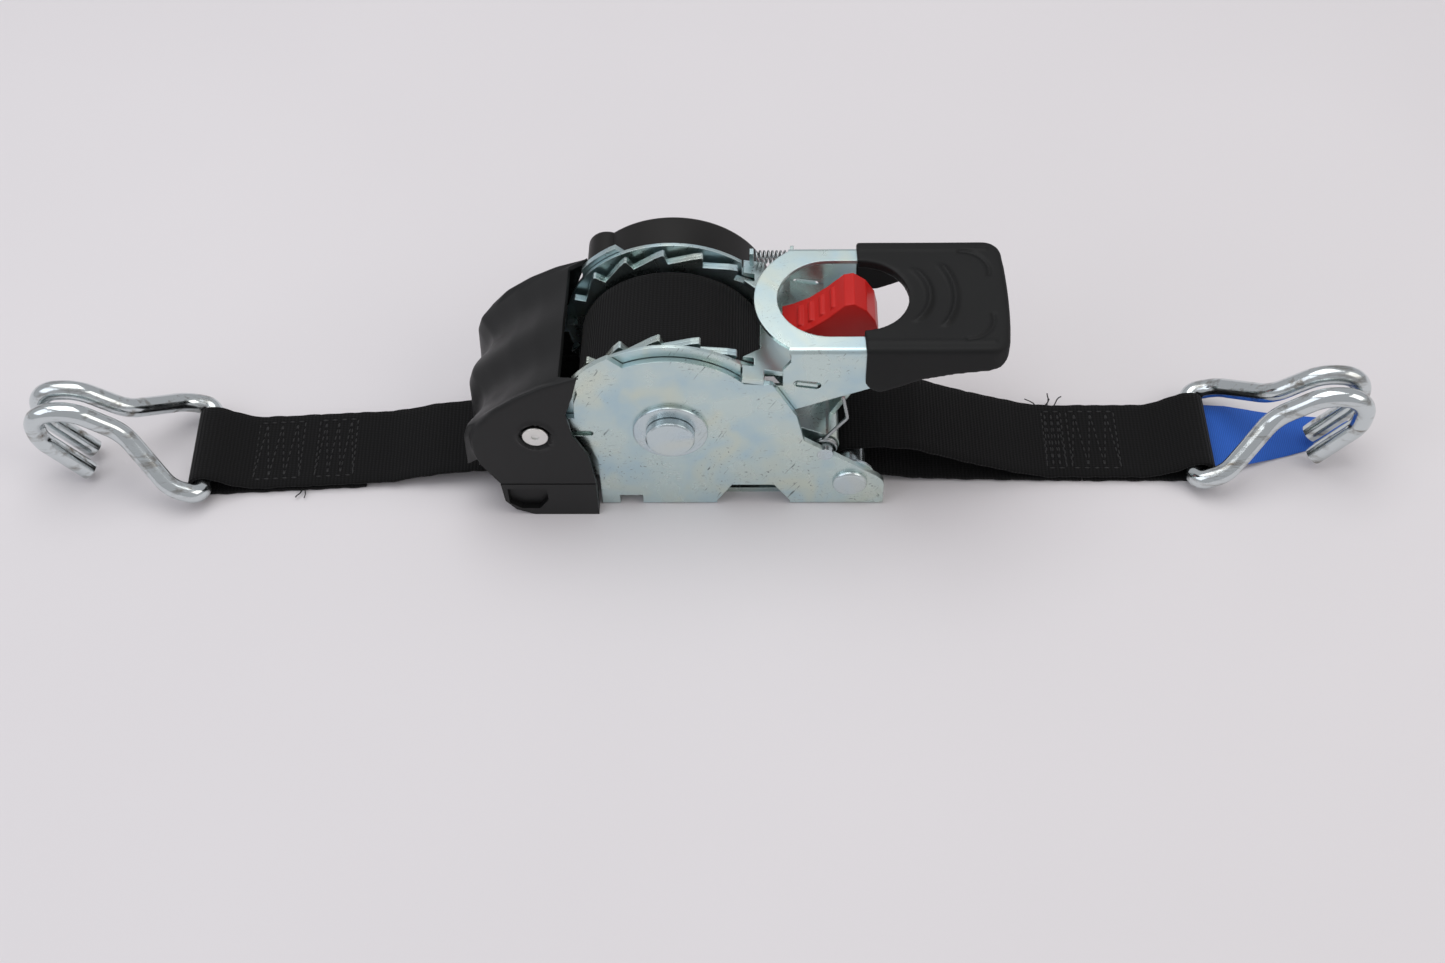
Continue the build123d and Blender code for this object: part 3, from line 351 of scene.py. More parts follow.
@dataclass(frozen=True)
class Moulding:
    """A moulded plastic or rubber: one colour with a spark-eroded grain, and a little dust and handling shine."""

    name: str
    base: str
    dusty: str
    roughness: float
    grain_mm: float = 0.6
    grain_depth_mm: float = 0.03
    coat: float = 0.0
    gloss: float = 0.30

    def make(self) -> bpy.types.Material:
        """Builds the material."""
        material, tree = blank_material(self.name)
        place = add(tree, "ShaderNodeTexCoord").outputs["Object"]
        broad = add(tree, "ShaderNodeTexNoise", {"Vector": place, "Scale": per_metre(26.0), "Detail": 4.0}).outputs[0]
        colour = ramp(tree, broad, 0.40, 0.72, self.base, self.dusty)
        grain = add(tree, "ShaderNodeTexNoise", {
            "Vector": place, "Scale": per_metre(self.grain_mm), "Detail": 3.0, "Roughness": 0.65}).outputs[0]
        rough = add(tree, "ShaderNodeMapRange", {
            0: broad, 1: 0.3, 2: 0.7, 3: self.roughness - 0.07, 4: self.roughness + 0.07}).outputs[0]
        bump = add(tree, "ShaderNodeBump", {
            "Strength": 0.5, "Distance": self.grain_depth_mm * MM, "Height": grain}).outputs[0]
        close_material(tree, {"Base Color": colour, "Roughness": rough, "Normal": bump,
                              "Specular IOR Level": self.gloss, "Coat Weight": self.coat, "Coat Roughness": 0.35})
        return material


@dataclass(frozen=True)
class Woven:
    """Woven polyester: crosswise ribs of warp over thick weft, fine lengthwise yarns and fuzz on the ribs, with painted
    shade in the weave's valleys.
    """

    name: str = "polyester_webbing"
    yarn: str = "0D0D0E"
    # painted shade: the colour of the weave's valleys, where the ribs shade them
    valley_shade: str = "030303"
    rib_mm: float = 1.9          # coarser than the real 1.1 mm, so that it shows
    yarn_mm: float = 1.2         # coarser than the real 0.5 mm, so that it shows
    depth_mm: float = 0.30
    roughness: float = 0.85
    gloss: float = 0.18
    sheen: float = 0.06

    def make(self) -> bpy.types.Material:
        """Builds the material."""
        material, tree = blank_material(self.name)
        uv = add(tree, "ShaderNodeTexCoord").outputs["UV"]
        wobble = add(tree, "ShaderNodeTexNoise", {"Vector": uv, "Scale": per_metre(9.0), "Detail": 2.0})
        shift = add(tree, "ShaderNodeVectorMath", {
            0: wobble.outputs[1], 1: (0.0009, 0.0005, 0.0)}, operation="MULTIPLY").outputs[0]
        laid = add(tree, "ShaderNodeVectorMath", {0: uv, 1: shift}, operation="ADD").outputs[0]
        ribs, yarns = (
            add(tree, "ShaderNodeTexWave", {"Vector": laid, "Scale": per_metre(pitch) * WAVE_PITCH},
                wave_type="BANDS", bands_direction=direction, wave_profile="SIN").outputs["Fac"]
            for pitch, direction in ((self.rib_mm, "X"), (self.yarn_mm, "Y")))
        height = add(tree, "ShaderNodeMath", {0: yarns, 1: 0.35, 2: ribs}, operation="MULTIPLY_ADD").outputs[0]
        fuzz = add(tree, "ShaderNodeTexNoise", {"Vector": uv, "Scale": per_metre(0.7), "Detail": 3.0}).outputs[0]
        height = add(tree, "ShaderNodeMath", {0: fuzz, 1: 0.4, 2: height}, operation="MULTIPLY_ADD").outputs[0]
        # colour follows the weave's height: painted shade in the valleys, lighter on the tops, with random tone from
        # the fuzz
        colour = ramp(tree, height, 0.35, 1.35, self.valley_shade, self.yarn)
        bump = add(tree, "ShaderNodeBump", {
            "Strength": 0.75, "Distance": self.depth_mm * MM, "Height": height}).outputs[0]
        close_material(tree, {"Base Color": colour, "Roughness": self.roughness, "Normal": bump,
                              "Specular IOR Level": self.gloss, "Sheen Weight": self.sheen, "Sheen Roughness": 0.5})
        return material


class Finish(Enum):
    """The object's finishes, by the common name of each."""

    SHEET = ZincPlate()
    TURNED = ZincPlate(name="zinc_plated_pin", base="CDD9DC", blue_tint="C3D2DA", straw_tint="D6DBD2", roughness=0.24,
                       grime=0.25)
    WIRE = ZincWire()
    SPRING = ZincWire(name="spring_wire", base="A9ADAE", streak="6C6A66", roughness=0.27)
    ALUMINIUM = ZincPlate(name="aluminium_rivet", base="E3E3E0", blue_tint="DADADA", straw_tint="E6E4DE",
                          roughness=0.33, grime=0.1)
    GUARD = Moulding("black_nylon_moulding", "0F1010", "171818", 0.44, gloss=0.34)
    DRUM = Moulding("black_drum_moulding", "121110", "191817", 0.42, gloss=0.26)
    HUB = Moulding("grey_nylon", "3A3B3D", "47484A", 0.5)
    RUBBER = Moulding("black_grip_rubber", "0F1010", "161717", 0.56, grain_mm=0.8, grain_depth_mm=0.05, gloss=0.24)
    RED = Moulding("red_abs", "B9140E", "C41A13", 0.40, coat=0.05, grain_mm=0.5, grain_depth_mm=0.02)
    WEBBING = Woven()
    # the tag's valley colour is painted shade in its weave too
    TAG = Woven(name="printed_satin_tag", yarn="2F68C9", valley_shade="2554AA", rib_mm=1.0, yarn_mm=0.8, depth_mm=0.06,
                roughness=0.55, sheen=0.1)
    THREAD = Moulding("polyester_thread", "121213", "1C1C1D", 0.48, grain_mm=0.4, grain_depth_mm=0.1, gloss=0.45)

    def material(self) -> bpy.types.Material:
        """The finish's material, made once."""
        found = bpy.data.materials.get(self.value.name)
        return found if found is not None else self.value.make()


CAD_FINISHES: dict[str, Finish] = {
    "frame": Finish.SHEET, "handle_frame": Finish.SHEET, "pawl_bracket": Finish.SHEET, "drive_pawl": Finish.SHEET,
    "holding_pawl": Finish.SHEET, "recoil_plate": Finish.SHEET, "ratchet_wheel_near_outer": Finish.SHEET,
    "ratchet_wheel_near_inner": Finish.SHEET, "ratchet_wheel_far_inner": Finish.SHEET,
    "ratchet_wheel_far_outer": Finish.SHEET, "spool_axle": Finish.TURNED, "axle_bushes": Finish.TURNED,
    "cross_pin": Finish.TURNED, "cross_sleeve": Finish.TURNED, "cross_washers": Finish.TURNED,
    "holding_pin": Finish.TURNED, "spool_core": Finish.TURNED, "recoil_screws": Finish.TURNED,
    "trigger_rivets": Finish.TURNED, "holding_spring": Finish.SPRING, "recoil_spring": Finish.SPRING,
    "guard_rivet_rod": Finish.ALUMINIUM, "guard_base": Finish.GUARD, "guide_roller": Finish.HUB,
    "recoil_cover": Finish.DRUM, "recoil_hub": Finish.HUB, "payout_hook": Finish.WIRE, "anchor_hook": Finish.WIRE,
}


def dress_cad_nodes(frame: dict) -> None:
    """Gives each CAD node that stays in view its finish.
    """
    for node, finish in CAD_FINISHES.items():
        obj = frame["nodes"][node]
        obj.data.materials.clear()
        obj.data.materials.append(finish.material())
        LOG.info("dressed %s in %s", node, finish.value.name)


# ------------------------------------------------------------------------------------------ webbing
@dataclass
class Ribbon:
    """A woven band laid along a line in X and Z, as wide as the webbing."""

    bench: Bench
    name: str
    body: str
    replaced: str
    route: list[Point]
    width: float = 47.5
    thickness: float = 2.0
    finish: Finish = Finish.WEBBING
    held: str = "laid"
    rests_on: tuple[str, ...] = ()
    across: int = 10
    wave: float = 0.35
    place: Callable[[float, float, float], Place] = as_laid

    def build(self) -> bpy.types.Object:
        """Returns:
            The finished piece.
        """
        runs = [0.0]
        for start, end in zip(self.route, self.route[1:]):
            runs.append(runs[-1] + math.dist(start, end))
        length, last = runs[-1], len(self.route) - 1
        bm = bmesh.new()
        bmesh.ops.create_grid(bm, x_segments=last, y_segments=self.across, size=0.5)
        uv = bm.loops.layers.uv.new("UVMap")
        seat: dict[int, tuple[float, float]] = {}
        bm.verts.index_update()
        for vert in bm.verts:
            step = (vert.co.x + 0.5) * last
            index = min(int(step + 1e-4), last - 1)
            share = step - index
            side = vert.co.y * self.width
            run = runs[index] + (runs[index + 1] - runs[index]) * share
            x = self.route[index][0] + (self.route[index + 1][0] - self.route[index][0]) * share
            z = self.route[index][1] + (self.route[index + 1][1] - self.route[index][1]) * share
            ease = abs(2 * vert.co.y) ** 6
            side += ease * self.wave * math.copysign(math.sin(run / 5.3) + 0.6 * math.sin(run / 2.1 + 1.0), side)
            vert.co = self.bench.at(*self.place(x, side, z))
            seat[vert.index] = (run * MM, side * MM)
        for face in bm.faces:
            for loop in face.loops:
                loop[uv].uv = seat[loop.vert.index]
        bmesh.ops.recalc_face_normals(bm, faces=bm.faces)
        obj = mesh_object(self.name, bm, self.finish.material())
        give_wall(obj, "thickness", self.thickness, 0.0)
        round_edges(obj, "selvedge", min(0.6, self.thickness * 0.3), 2, 50)
        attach(obj, self.body)
        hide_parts(self.replaced)
        LOG.info("laid %s, %.0f mm long", self.name, length)
        return obj


@dataclass
class Stitching:
    """Rows of lockstitch that hold a strap's folded end."""

    bench: Bench
    name: str
    body: str
    start: float
    end: float
    top: float
    place: Callable[[float, float, float], Place]
    half_width: float = 19.0
    zigzags: int = 6
    zigzag_share: float = 0.92   # how near the zigzag comes to the border
    stitch_mm: float = 4.2
    thread_mm: float = 0.55

    def lines(self) -> list[tuple[Point, Point]]:
        """The stitched lines in X and Y: a border with a zigzag inside it."""
        low, high, half = self.start, self.end, self.half_width
        corners = [(low, -half), (high, -half), (high, half), (low, half), (low, -half)]
        zigzag = [(low + (high - low) * i / self.zigzags, half * (1 if i % 2 else -1) * self.zigzag_share)
                  for i in range(self.zigzags + 1)]
        return [*zip(corners, corners[1:]), *zip(zigzag, zigzag[1:])]

    def build(self) -> bpy.types.Object:
        """Sets one small capsule for each stitch.

        Returns:
            The stitches as one piece.
        """
        bm = bmesh.new()
        for start, end in self.lines():
            run = math.dist(start, end)
            count = max(1, int(run / self.stitch_mm))
            heading = math.atan2(end[1] - start[1], end[0] - start[0])
            for i in range(count):
                share = (i + 0.5) / count
                x, y, z = self.place(start[0] + (end[0] - start[0]) * share, start[1] + (end[1] - start[1]) * share,
                                     self.top)
                turn = Matrix.Translation(self.bench.at(x, y, z)) @ Matrix.Rotation(heading, 4, "Z")
                size = Matrix.Diagonal(
                    (self.stitch_mm * 0.42 * MM, self.thread_mm * MM, self.thread_mm * 0.7 * MM, 1.0))
                bmesh.ops.create_icosphere(bm, subdivisions=1, radius=1.0, matrix=turn @ size)
        obj = mesh_object(self.name, bm, Finish.THREAD.material())
        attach(obj, self.body)
        LOG.info("sewed %s", self.name)
        return obj


@dataclass
class LooseThreads:
    """Short ends of thread that stand off a strap's edge."""

    bench: Bench
    name: str
    body: str
    roots: list[Place]
    reach: float = 9.0
    outward: float = 1.0
    thread_mm: float = 0.7
    runs: int = 6
    seed: int = 7

    def build(self) -> bpy.types.Object:
        """Makes each thread as a thin tube along a seeded wander, all in one piece."""
        wander = random.Random(self.seed)
        bm = bmesh.new()
        for root in self.roots:
            spot = Vector(root)
            heading = Vector((wander.uniform(-0.9, 0.9), self.outward, wander.uniform(0.0, 0.5))).normalized()
            ring = bmesh.ops.create_circle(bm, segments=6, radius=self.thread_mm * MM / 2, matrix=(
                Matrix.Translation(self.bench.at(*spot)) @ heading.to_track_quat("Z", "Y").to_matrix().to_4x4()))
            edges = [e for e in bm.edges if all(v in ring["verts"] for v in e.verts)]
            for _ in range(self.runs):
                heading = (heading + Vector([wander.uniform(-0.35, 0.35) for _ in range(3)])).normalized()
                grown = bmesh.ops.extrude_edge_only(bm, edges=edges)
                fresh = [g for g in grown["geom"] if isinstance(g, bmesh.types.BMVert)]
                bmesh.ops.translate(bm, verts=fresh, vec=heading * self.reach * MM / self.runs)
                edges = [g for g in grown["geom"] if isinstance(g, bmesh.types.BMEdge)
                         and all(v in fresh for v in g.verts)]
        bmesh.ops.recalc_face_normals(bm, faces=bm.faces)
        obj = mesh_object(self.name, bm, Finish.THREAD.material())
        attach(obj, self.body)
        return obj


@dataclass
class Webbing:
    """All the webbing: the roll on the spool, the payout strap, the anchor strap and the tag."""

    bench: Bench
    width: float = 47.5
    layer: float = 2.4
    axle_height: float = 59.7
    roll_radius: float = 47.8
    core_radius: float = 15.0
    mouth_x: float = -104.0
    askew: float = 3.4
    payout_fold_x: float = -254.5
    anchor_fold_x: float = 277.5
    loop_inner: float = 5.4
    sleeve: Place = (88.8, 18.4, 8.3)
    payout_blocks: tuple[tuple[str, float, float], ...] = (("outer", -222.0, -198.0), ("inner", -190.0, -170.0))
    anchor_blocks: tuple[tuple[str, float, float], ...] = (("outer", 205.0, 230.0), ("inner", 192.0, 202.0))
    tag_width: float = 41.0
    tag_length: float = 76.0
    tag_taper: tuple[float, float] = (12.0, 65.0)    # where past the fold the tag starts to narrow, and over how far

    @property
    def loop_mid(self) -> float:
        """Radius of the webbing's middle where it goes round a hook's bar."""
        return self.loop_inner + self.layer / 2

    @property
    def lower_z(self) -> float:
        """Height of a strap's lower layer's middle, where it lies on the floor."""
        return self.layer / 2 + 0.15

    @property
    def upper_z(self) -> float:
        """Height of a strap's upper layer's middle, where it lies on the lower one."""
        return self.layer * 1.5 + 0.5

    @property
    def bar_z(self) -> float:
        """Height of a hook's bar."""
        return self.loop_inner + self.layer + 0.1

    def askew_place(self, x: float, y: float, z: float) -> Place:
        """Turns what lies outside the guard's mouth with the payout strap."""
        angle = math.radians(self.askew) * min(1.0, max(0.0, (self.mouth_x + 8.0 - x) / 16.0))
        reach = x - self.mouth_x
        return (self.mouth_x + reach * math.cos(angle) - y * math.sin(angle),
                reach * math.sin(angle) + y * math.cos(angle), z)

    def build(self) -> None:
        """Builds every piece of webbing and what is sewn to it."""
        self.wind_roll()
        self.lay_payout()
        self.lay_anchor()
        self.lay_tag()

    def wind_roll(self) -> None:
        """Winds the webbing on its core as one spiral."""
        pitch = self.layer - 0.02
        turns = (self.roll_radius - self.core_radius - self.layer) / pitch
        steps = int(turns * 64)
        route = []
        for i in range(steps + 1):
            radius = self.core_radius + self.layer / 2 + pitch * turns * i / steps
            angle = math.radians(-80.0) - 2 * math.pi * turns * (steps - i) / steps
            route.append((radius * math.cos(angle), self.axle_height + radius * math.sin(angle)))
        Ribbon(self.bench, "wound_webbing", "spool", "webbing_roll", route, thickness=2.2, held="stretched",
               rests_on=("spool_core",), wave=0.2).build()

    def lay_payout(self) -> None:
        """Lays the payout strap from under the roll to its sewn loop, with its stitches and a loose thread."""
        tail_z = self.axle_height - self.roll_radius - 0.4 - self.layer / 2
        bar_x = self.payout_fold_x + self.loop_inner + self.layer
        upper = self.upper_z
        corners = [(44.0, tail_z), (self.mouth_x + 4.0, tail_z), (-125.0, 9.0), (-150.0, upper + 0.2),
                   (bar_x + 24.0, upper + 0.2), (bar_x + 14.0, upper + 4.0), (bar_x + 4.0, self.bar_z + self.loop_mid)]
        loop = arc((bar_x, self.bar_z), self.loop_mid, 90.0, 270.0)
        under = [(bar_x + 6.0, self.bar_z - self.loop_mid), (-163.0, self.lower_z)]
        route = resample([*corners, *loop, *under], 2.0, 3)
        Ribbon(self.bench, "payout_webbing", "payout_strap", "payout_strap", route, rests_on=("frame",),
               place=self.askew_place).build()
        self.sew("payout", self.payout_blocks, self.askew_place)
        edge = self.askew_place(-196.0, -self.width / 2 + 0.3, 2.0)
        LooseThreads(self.bench, "payout_loose_threads", "payout_strap", [edge, edge], reach=7.0,
                     outward=-1.0).build()

    def lay_anchor(self) -> None:
        """Lays the anchor strap as one band round the cross pin's sleeve and the hook's bar."""
        pin_x, pin_z, inside = self.sleeve
        round_pin = inside + self.layer / 2
        bar_x = self.anchor_fold_x - self.loop_inner - self.layer
        upper, lower = self.upper_z, self.lower_z
        out = [(209.6, lower), (150.0, lower + 1.4), (122.0, lower + 2.7), (pin_x + 5.0, pin_z - round_pin)]
        pin = arc((pin_x, pin_z), round_pin, 270.0, 80.0, 24)
        back = [(104.0, 29.4), (122.0, 27.2), (150.0, 16.4), (178.0, 7.4), (192.0, upper + 0.2),
                (bar_x - 24.0, upper + 0.2), (bar_x - 14.0, upper + 4.0), (bar_x - 4.0, self.bar_z + self.loop_mid)]
        loop = arc((bar_x, self.bar_z), self.loop_mid, 90.0, -90.0)
        under = [(bar_x - 6.0, self.bar_z - self.loop_mid), (210.0, lower)]
        route = resample([*out, *pin, *back, *loop, *under], 2.0, 3)
        Ribbon(self.bench, "anchor_webbing", "anchor_strap", "anchor_strap", route,
               rests_on=("cross_sleeve",)).build()
        self.sew("anchor", self.anchor_blocks, as_laid)
        LooseThreads(self.bench, "anchor_loose_threads", "anchor_strap",
                     [(190.0 + 3.0 * i, self.width / 2 - 0.4, 4.0) for i in range(4)], reach=8.0).build()

    def sew(self, strap: str, blocks: Iterable[tuple[str, float, float]],
            place: Callable[[float, float, float], Place]) -> None:
        """Sews the blocks of stitches that hold a strap's folded end.

        Args:
            strap: Which strap: payout or anchor.
            blocks: Each block's name and its two ends in X.
            place: How the strap lies.
        """
        for name, low, high in blocks:
            Stitching(self.bench, f"{strap}_stitches_{name}", f"{strap}_strap", low, high,
                      self.upper_z + self.layer / 2, place).build()

    def lay_tag(self) -> None:
        """Lays the plain tag from the anchor loop to the floor under the hook's tips."""
        start = self.anchor_fold_x + 0.4
        corners = [(start, 4.0), (start + 14.0, 3.0), (start + 34.0, 0.6), (start + self.tag_length, 0.6)]
        route = resample(corners, 2.0, 6)
        Ribbon(self.bench, "tag_cloth", "anchor_strap", "label_tag", route, width=self.tag_width, thickness=0.35,
               finish=Finish.TAG, wave=0.1, across=8, place=self.tag_place).build()

    def tag_place(self, x: float, y: float, z: float) -> Place:
        """Narrows the tag towards its end and carries it to the far side."""
        begin, run = self.tag_taper
        share = max(0.0, (x - self.anchor_fold_x - begin) / run)
        return (x, y * (1.0 - 0.70 * share) + 4.0 + 6.5 * share, z)


# ------------------------------------------------------------------------------------------ guard
@dataclass
class GuardHood:
    """The moulded hood over the payout side: a three-lobed front between two flared cheeks."""

    bench: Bench
    shell_half: float = 36.0
    ridge_half: float = 40.2
    foot_half: float = 44.4
    foot_rear: float = -38.8
    foot_front: float = -87.0
    crest_z: float = 99.6
    split_z: float = 25.2        # the parting line with the lower shell
    shell_end: float = 0.46      # shares of the way from the middle to a cheek's foot
    crest_at: float = 0.56
    smoothing: int = 7
    wall: float = 2.0
    lobe_pitch: float = 40.0
    rivet: Point = (-66.0, 60.0)
    rivet_seat: float = 41.2     # how far out the round seat under each rivet head lies
    seat_radius: float = 7.7
    lobe_line: list[Point] = field(default_factory=lambda: [
        (-52.0, 97.0), (-66.0, 89.5), (-80.0, 80.0), (-92.0, 69.5), (-101.0, 61.0), (-103.6, 53.0), (-103.8, 43.0),
        (-103.8, 31.5)])
    hollow_line: list[Point] = field(default_factory=lambda: [
        (-52.0, 96.0), (-64.0, 88.5), (-76.0, 79.0), (-86.0, 69.0), (-92.5, 61.0), (-96.0, 52.0), (-99.5, 42.0),
        (-103.0, 31.5)])
    crest_line: list[Point] = field(default_factory=lambda: [
        (-42.5, 99.6), (-58.0, 94.5), (-72.0, 87.0), (-85.0, 77.5), (-94.0, 67.0), (-98.5, 57.0), (-98.0, 47.0),
        (-95.5, 40.0)])
    rear_line: list[Point] = field(default_factory=lambda: [
        (-42.5, 99.6), (-45.5, 88.0), (-50.0, 75.0), (-48.0, 60.0), (-41.0, 45.0), (-38.8, 25.2)])
    drum_line: list[Point] = field(default_factory=lambda: [
        (-42.5, 99.6), (-46.8, 88.0), (-51.0, 75.0), (-51.8, 60.0), (-49.4, 45.0), (-38.8, 25.2)])

    @staticmethod
    def along(line: Sequence[Point], share: float) -> Point:
        """The point at a share of a line's points, with straight runs between them."""
        step = min(max(share, 0.0), 1.0) * (len(line) - 1)
        index = min(int(step), len(line) - 2)
        part = step - index
        a, b = line[index], line[index + 1]
        return (a[0] + (b[0] - a[0]) * part, a[1] + (b[1] - a[1]) * part)

    def shell_point(self, u: float, y: float) -> Place:
        """A point on the hood's sloping front.

        Args:
            u: From 0 at the edge by the spool to 1 at the mouth's lip.
            y: Across the strap, in millimetres.

        Returns:
            The place in design millimetres.
        """
        lobe = 0.5 + 0.5 * math.cos(2 * math.pi * y / self.lobe_pitch)
        near, far = self.along(self.lobe_line, u), self.along(self.hollow_line, u)
        x = far[0] + (near[0] - far[0]) * lobe
        z = far[1] + (near[1] - far[1]) * lobe
        return (x, y, z)

    def cheek_point(self, u: float, w: float, rear_line: Sequence[Point]) -> Point:
        """A point on a cheek's outline patch, blended from its four edges.

        Args:
            u: From 0 at the rear edge to 1 at the front.
            w: From 0 at the crest to 1 at the parting line.
            rear_line: The cheek's rear edge: the far cheek's clears the recoil drum.

        Returns:
            X and Z in millimetres.
        """
        top = self.along(self.crest_line, u)
        foot = (self.foot_rear + (self.foot_front - self.foot_rear) * u, self.split_z)
        rear = self.along(rear_line, w)
        front_top = self.crest_line[-1]
        front = (front_top[0] + (self.foot_front - front_top[0]) * w,
                 front_top[1] + (self.split_z - front_top[1]) * w)
        corner = [self.crest_line[0], front_top, (self.foot_rear, self.split_z), (self.foot_front, self.split_z)]
        result = []
        for axis in (0, 1):
            flat = ((1 - u) * (1 - w) * corner[0][axis] + u * (1 - w) * corner[1][axis]
                    + (1 - u) * w * corner[2][axis] + u * w * corner[3][axis])
            result.append((1 - w) * top[axis] + w * foot[axis] + (1 - u) * rear[axis] + u * front[axis] - flat)
        return (result[0], result[1])

    def point(self, u: float, v: float) -> Place:
        """A point on the whole hood, from one cheek's foot over the front to the other's.

        Args:
            u: From 0 at the rear to 1 at the front.
            v: From -1 at the near cheek's foot to 1 at the far cheek's.

        Returns:
            The place in design millimetres.
        """
        side = math.copysign(1.0, v)
        reach = abs(v)
        if reach <= self.shell_end:
            return self.shell_point(u, side * self.shell_half * reach / self.shell_end)
        if reach <= self.crest_at:
            share = (reach - self.shell_end) / (self.crest_at - self.shell_end)
            ease = share * share * (3 - 2 * share)
            inner = self.shell_point(u, side * self.shell_half)
            crest = self.along(self.crest_line, u)
            return (inner[0] + (crest[0] - inner[0]) * ease,
                    side * (self.shell_half + (self.ridge_half - self.shell_half) * share),
                    inner[2] + (crest[1] - inner[2]) * ease)
        w = (reach - self.crest_at) / (1 - self.crest_at)
        x, z = self.cheek_point(u, w, self.drum_line if side > 0 else self.rear_line)
        flare = min(1.0, max(0.0, (self.crest_z - z) / (self.crest_z - self.split_z)))
        return (x, side * (self.ridge_half + (self.foot_half - self.ridge_half) * flare), z)

    def press_seat(self, vert: bmesh.types.BMVert) -> None:
        """Presses the round seat of a rivet head into a cheek, with a raised lip round it."""
        local = (vert.co - self.bench.origin) / MM
        gap = math.dist((local.x, local.z), self.rivet)
        if abs(local.y) < self.shell_half or gap > self.seat_radius + 4.0:
            return
        lip = 0.8 * math.exp(-((gap - self.seat_radius - 0.9) / 0.9) ** 2)
        depth = self.rivet_seat if gap < self.seat_radius else max(abs(local.y), self.rivet_seat) + lip
        vert.co.y = self.bench.at(0.0, math.copysign(depth, local.y), 0.0).y

    def build(self) -> bpy.types.Object:
        """Shapes a grid to the hood, smooths it and gives it its wall.

        Returns:
            The finished piece.
        """
        bm = bmesh.new()
        bmesh.ops.create_grid(bm, x_segments=96, y_segments=200, size=0.5)
        for vert in bm.verts:
            vert.co = self.bench.at(*self.point(vert.co.x + 0.5, vert.co.y * 2.0))
        inside = [v for v in bm.verts if not v.is_boundary]
        smooth_rounds(bm, inside, self.smoothing)
        for vert in bm.verts:
            self.press_seat(vert)
        bmesh.ops.recalc_face_normals(bm, faces=bm.faces)
        centre = self.bench.at(-60.0, 0.0, 45.0)
        outward = sum(((f.calc_center_median() - centre).dot(f.normal) * f.calc_area() for f in bm.faces), 0.0)
        if outward < 0:
            bmesh.ops.reverse_faces(bm, faces=bm.faces)
        obj = mesh_object("hood_moulding", bm, Finish.GUARD.material())
        give_wall(obj, "wall", self.wall, -1.0)
        round_edges(obj, "rim", 0.7, 3, 60)
        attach(obj, "frame")
        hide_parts("guard_hood")
        LOG.info("moulded the hood")
        return obj


# ------------------------------------------------------------------------------------------ mouldings
@dataclass
class Moulded:
    """A moulded piece that starts from its CAD node's shape and gets its soft edges and raised details."""

    name: str
    body: str
    node: str
    finish: Finish
    slot: str
    voxel_mm: float = 0.8
    soften: int = 6
    shape: Callable[[Vector, Vector], Vector] | None = None

    def build(self, frame: dict) -> bpy.types.Object:
        """Remeshes a merged copy of the node, softens it and raises its details.


        Returns:
            The finished piece.
        """
        bm = bmesh.new()
        bm.from_mesh(frame["nodes"][self.node].data)
        bmesh.ops.remove_doubles(bm, verts=bm.verts, dist=1e-6)
        obj = mesh_object(self.name, bm, self.finish.material())
        remesh = obj.modifiers.new("even", "REMESH")
        remesh.mode = "VOXEL"
        remesh.voxel_size = self.voxel_mm * MM
        bake_modifiers(obj)
        bm = bmesh.new()
        bm.from_mesh(obj.data)
        smooth_rounds(bm, bm.verts, self.soften)
        bm.normal_update()
        if self.shape is not None:
            moved = [(v, self.shape(v.co.copy(), v.normal.copy())) for v in bm.verts]
            for vert, place in moved:
                vert.co = place
        bm.to_mesh(obj.data)
        bm.free()
        obj.data.materials.clear()
        obj.data.materials.append(self.finish.material())
        obj.data.shade_smooth()
        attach(obj, self.body)
        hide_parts(self.node)
        LOG.info("moulded %s", self.name)
        return obj


@dataclass
class Grip:
    """The rubber grip's raised finger ribs and rim lines."""

    bench: Bench
    top: float = 114.5
    rib_centre: Point = (101.0, 0.0)
    rib_radii: tuple[float, ...] = (24.0, 36.0)
    rib_reach: float = 15.0
    rib_height: float = 1.9
    rib_half: float = 1.35
    thumb_centre: Point = (140.5, 15.5)
    thumb_radius: float = 13.5
    thumb_groove: float = 1.0
    rim_at: float = 30.5
    rim_height: float = 0.6
    rim_end: float = 154.0
    hollow: float = 0.9          # how far the top sinks in its middle
    hollow_x: float = 128.0

    def raise_ribs(self, place: Vector, normal: Vector) -> Vector:
        """Lifts the top where a rib or a rim line runs.

        Args:
            place: A vertex's place, in metres.
            normal: Its normal.

        Returns:
            Its new place.
        """
        local = (place - self.bench.origin) / MM
        if normal.z < 0.5 or local.z < self.top - 5.0:
            return place
        lift = 0.0
        gap = math.hypot(local.x - self.rib_centre[0], local.y - self.rib_centre[1])
        for index, radius in enumerate(self.rib_radii):
            reach = self.rib_reach + 3.0 * index
            fade = max(0.0, 1.0 - max(0.0, abs(local.y) - reach) / 3.0) * (1.0 if local.x > self.rib_centre[0] else 0.0)
            lift += self.rib_height * fade * math.exp(-((gap - radius) / self.rib_half) ** 2)
        lift += self.rim_height * math.exp(-((abs(local.y) - self.rim_at) / 1.0) ** 2) * (local.x < self.rim_end)
        round_thumb = math.hypot(local.x - self.thumb_centre[0], abs(local.y) - self.thumb_centre[1])
        if local.x > self.thumb_centre[0] - 1.0 and abs(local.y) > self.thumb_centre[1] - 3.0:
            lift -= self.thumb_groove * math.exp(-((round_thumb - self.thumb_radius) / 0.9) ** 2)
        bow = -self.hollow * math.exp(-((local.x - self.hollow_x) / 22.0) ** 2) * math.exp(-(local.y / 24.0) ** 2)
        return place + Vector((0.0, 0.0, (lift + bow) * MM))


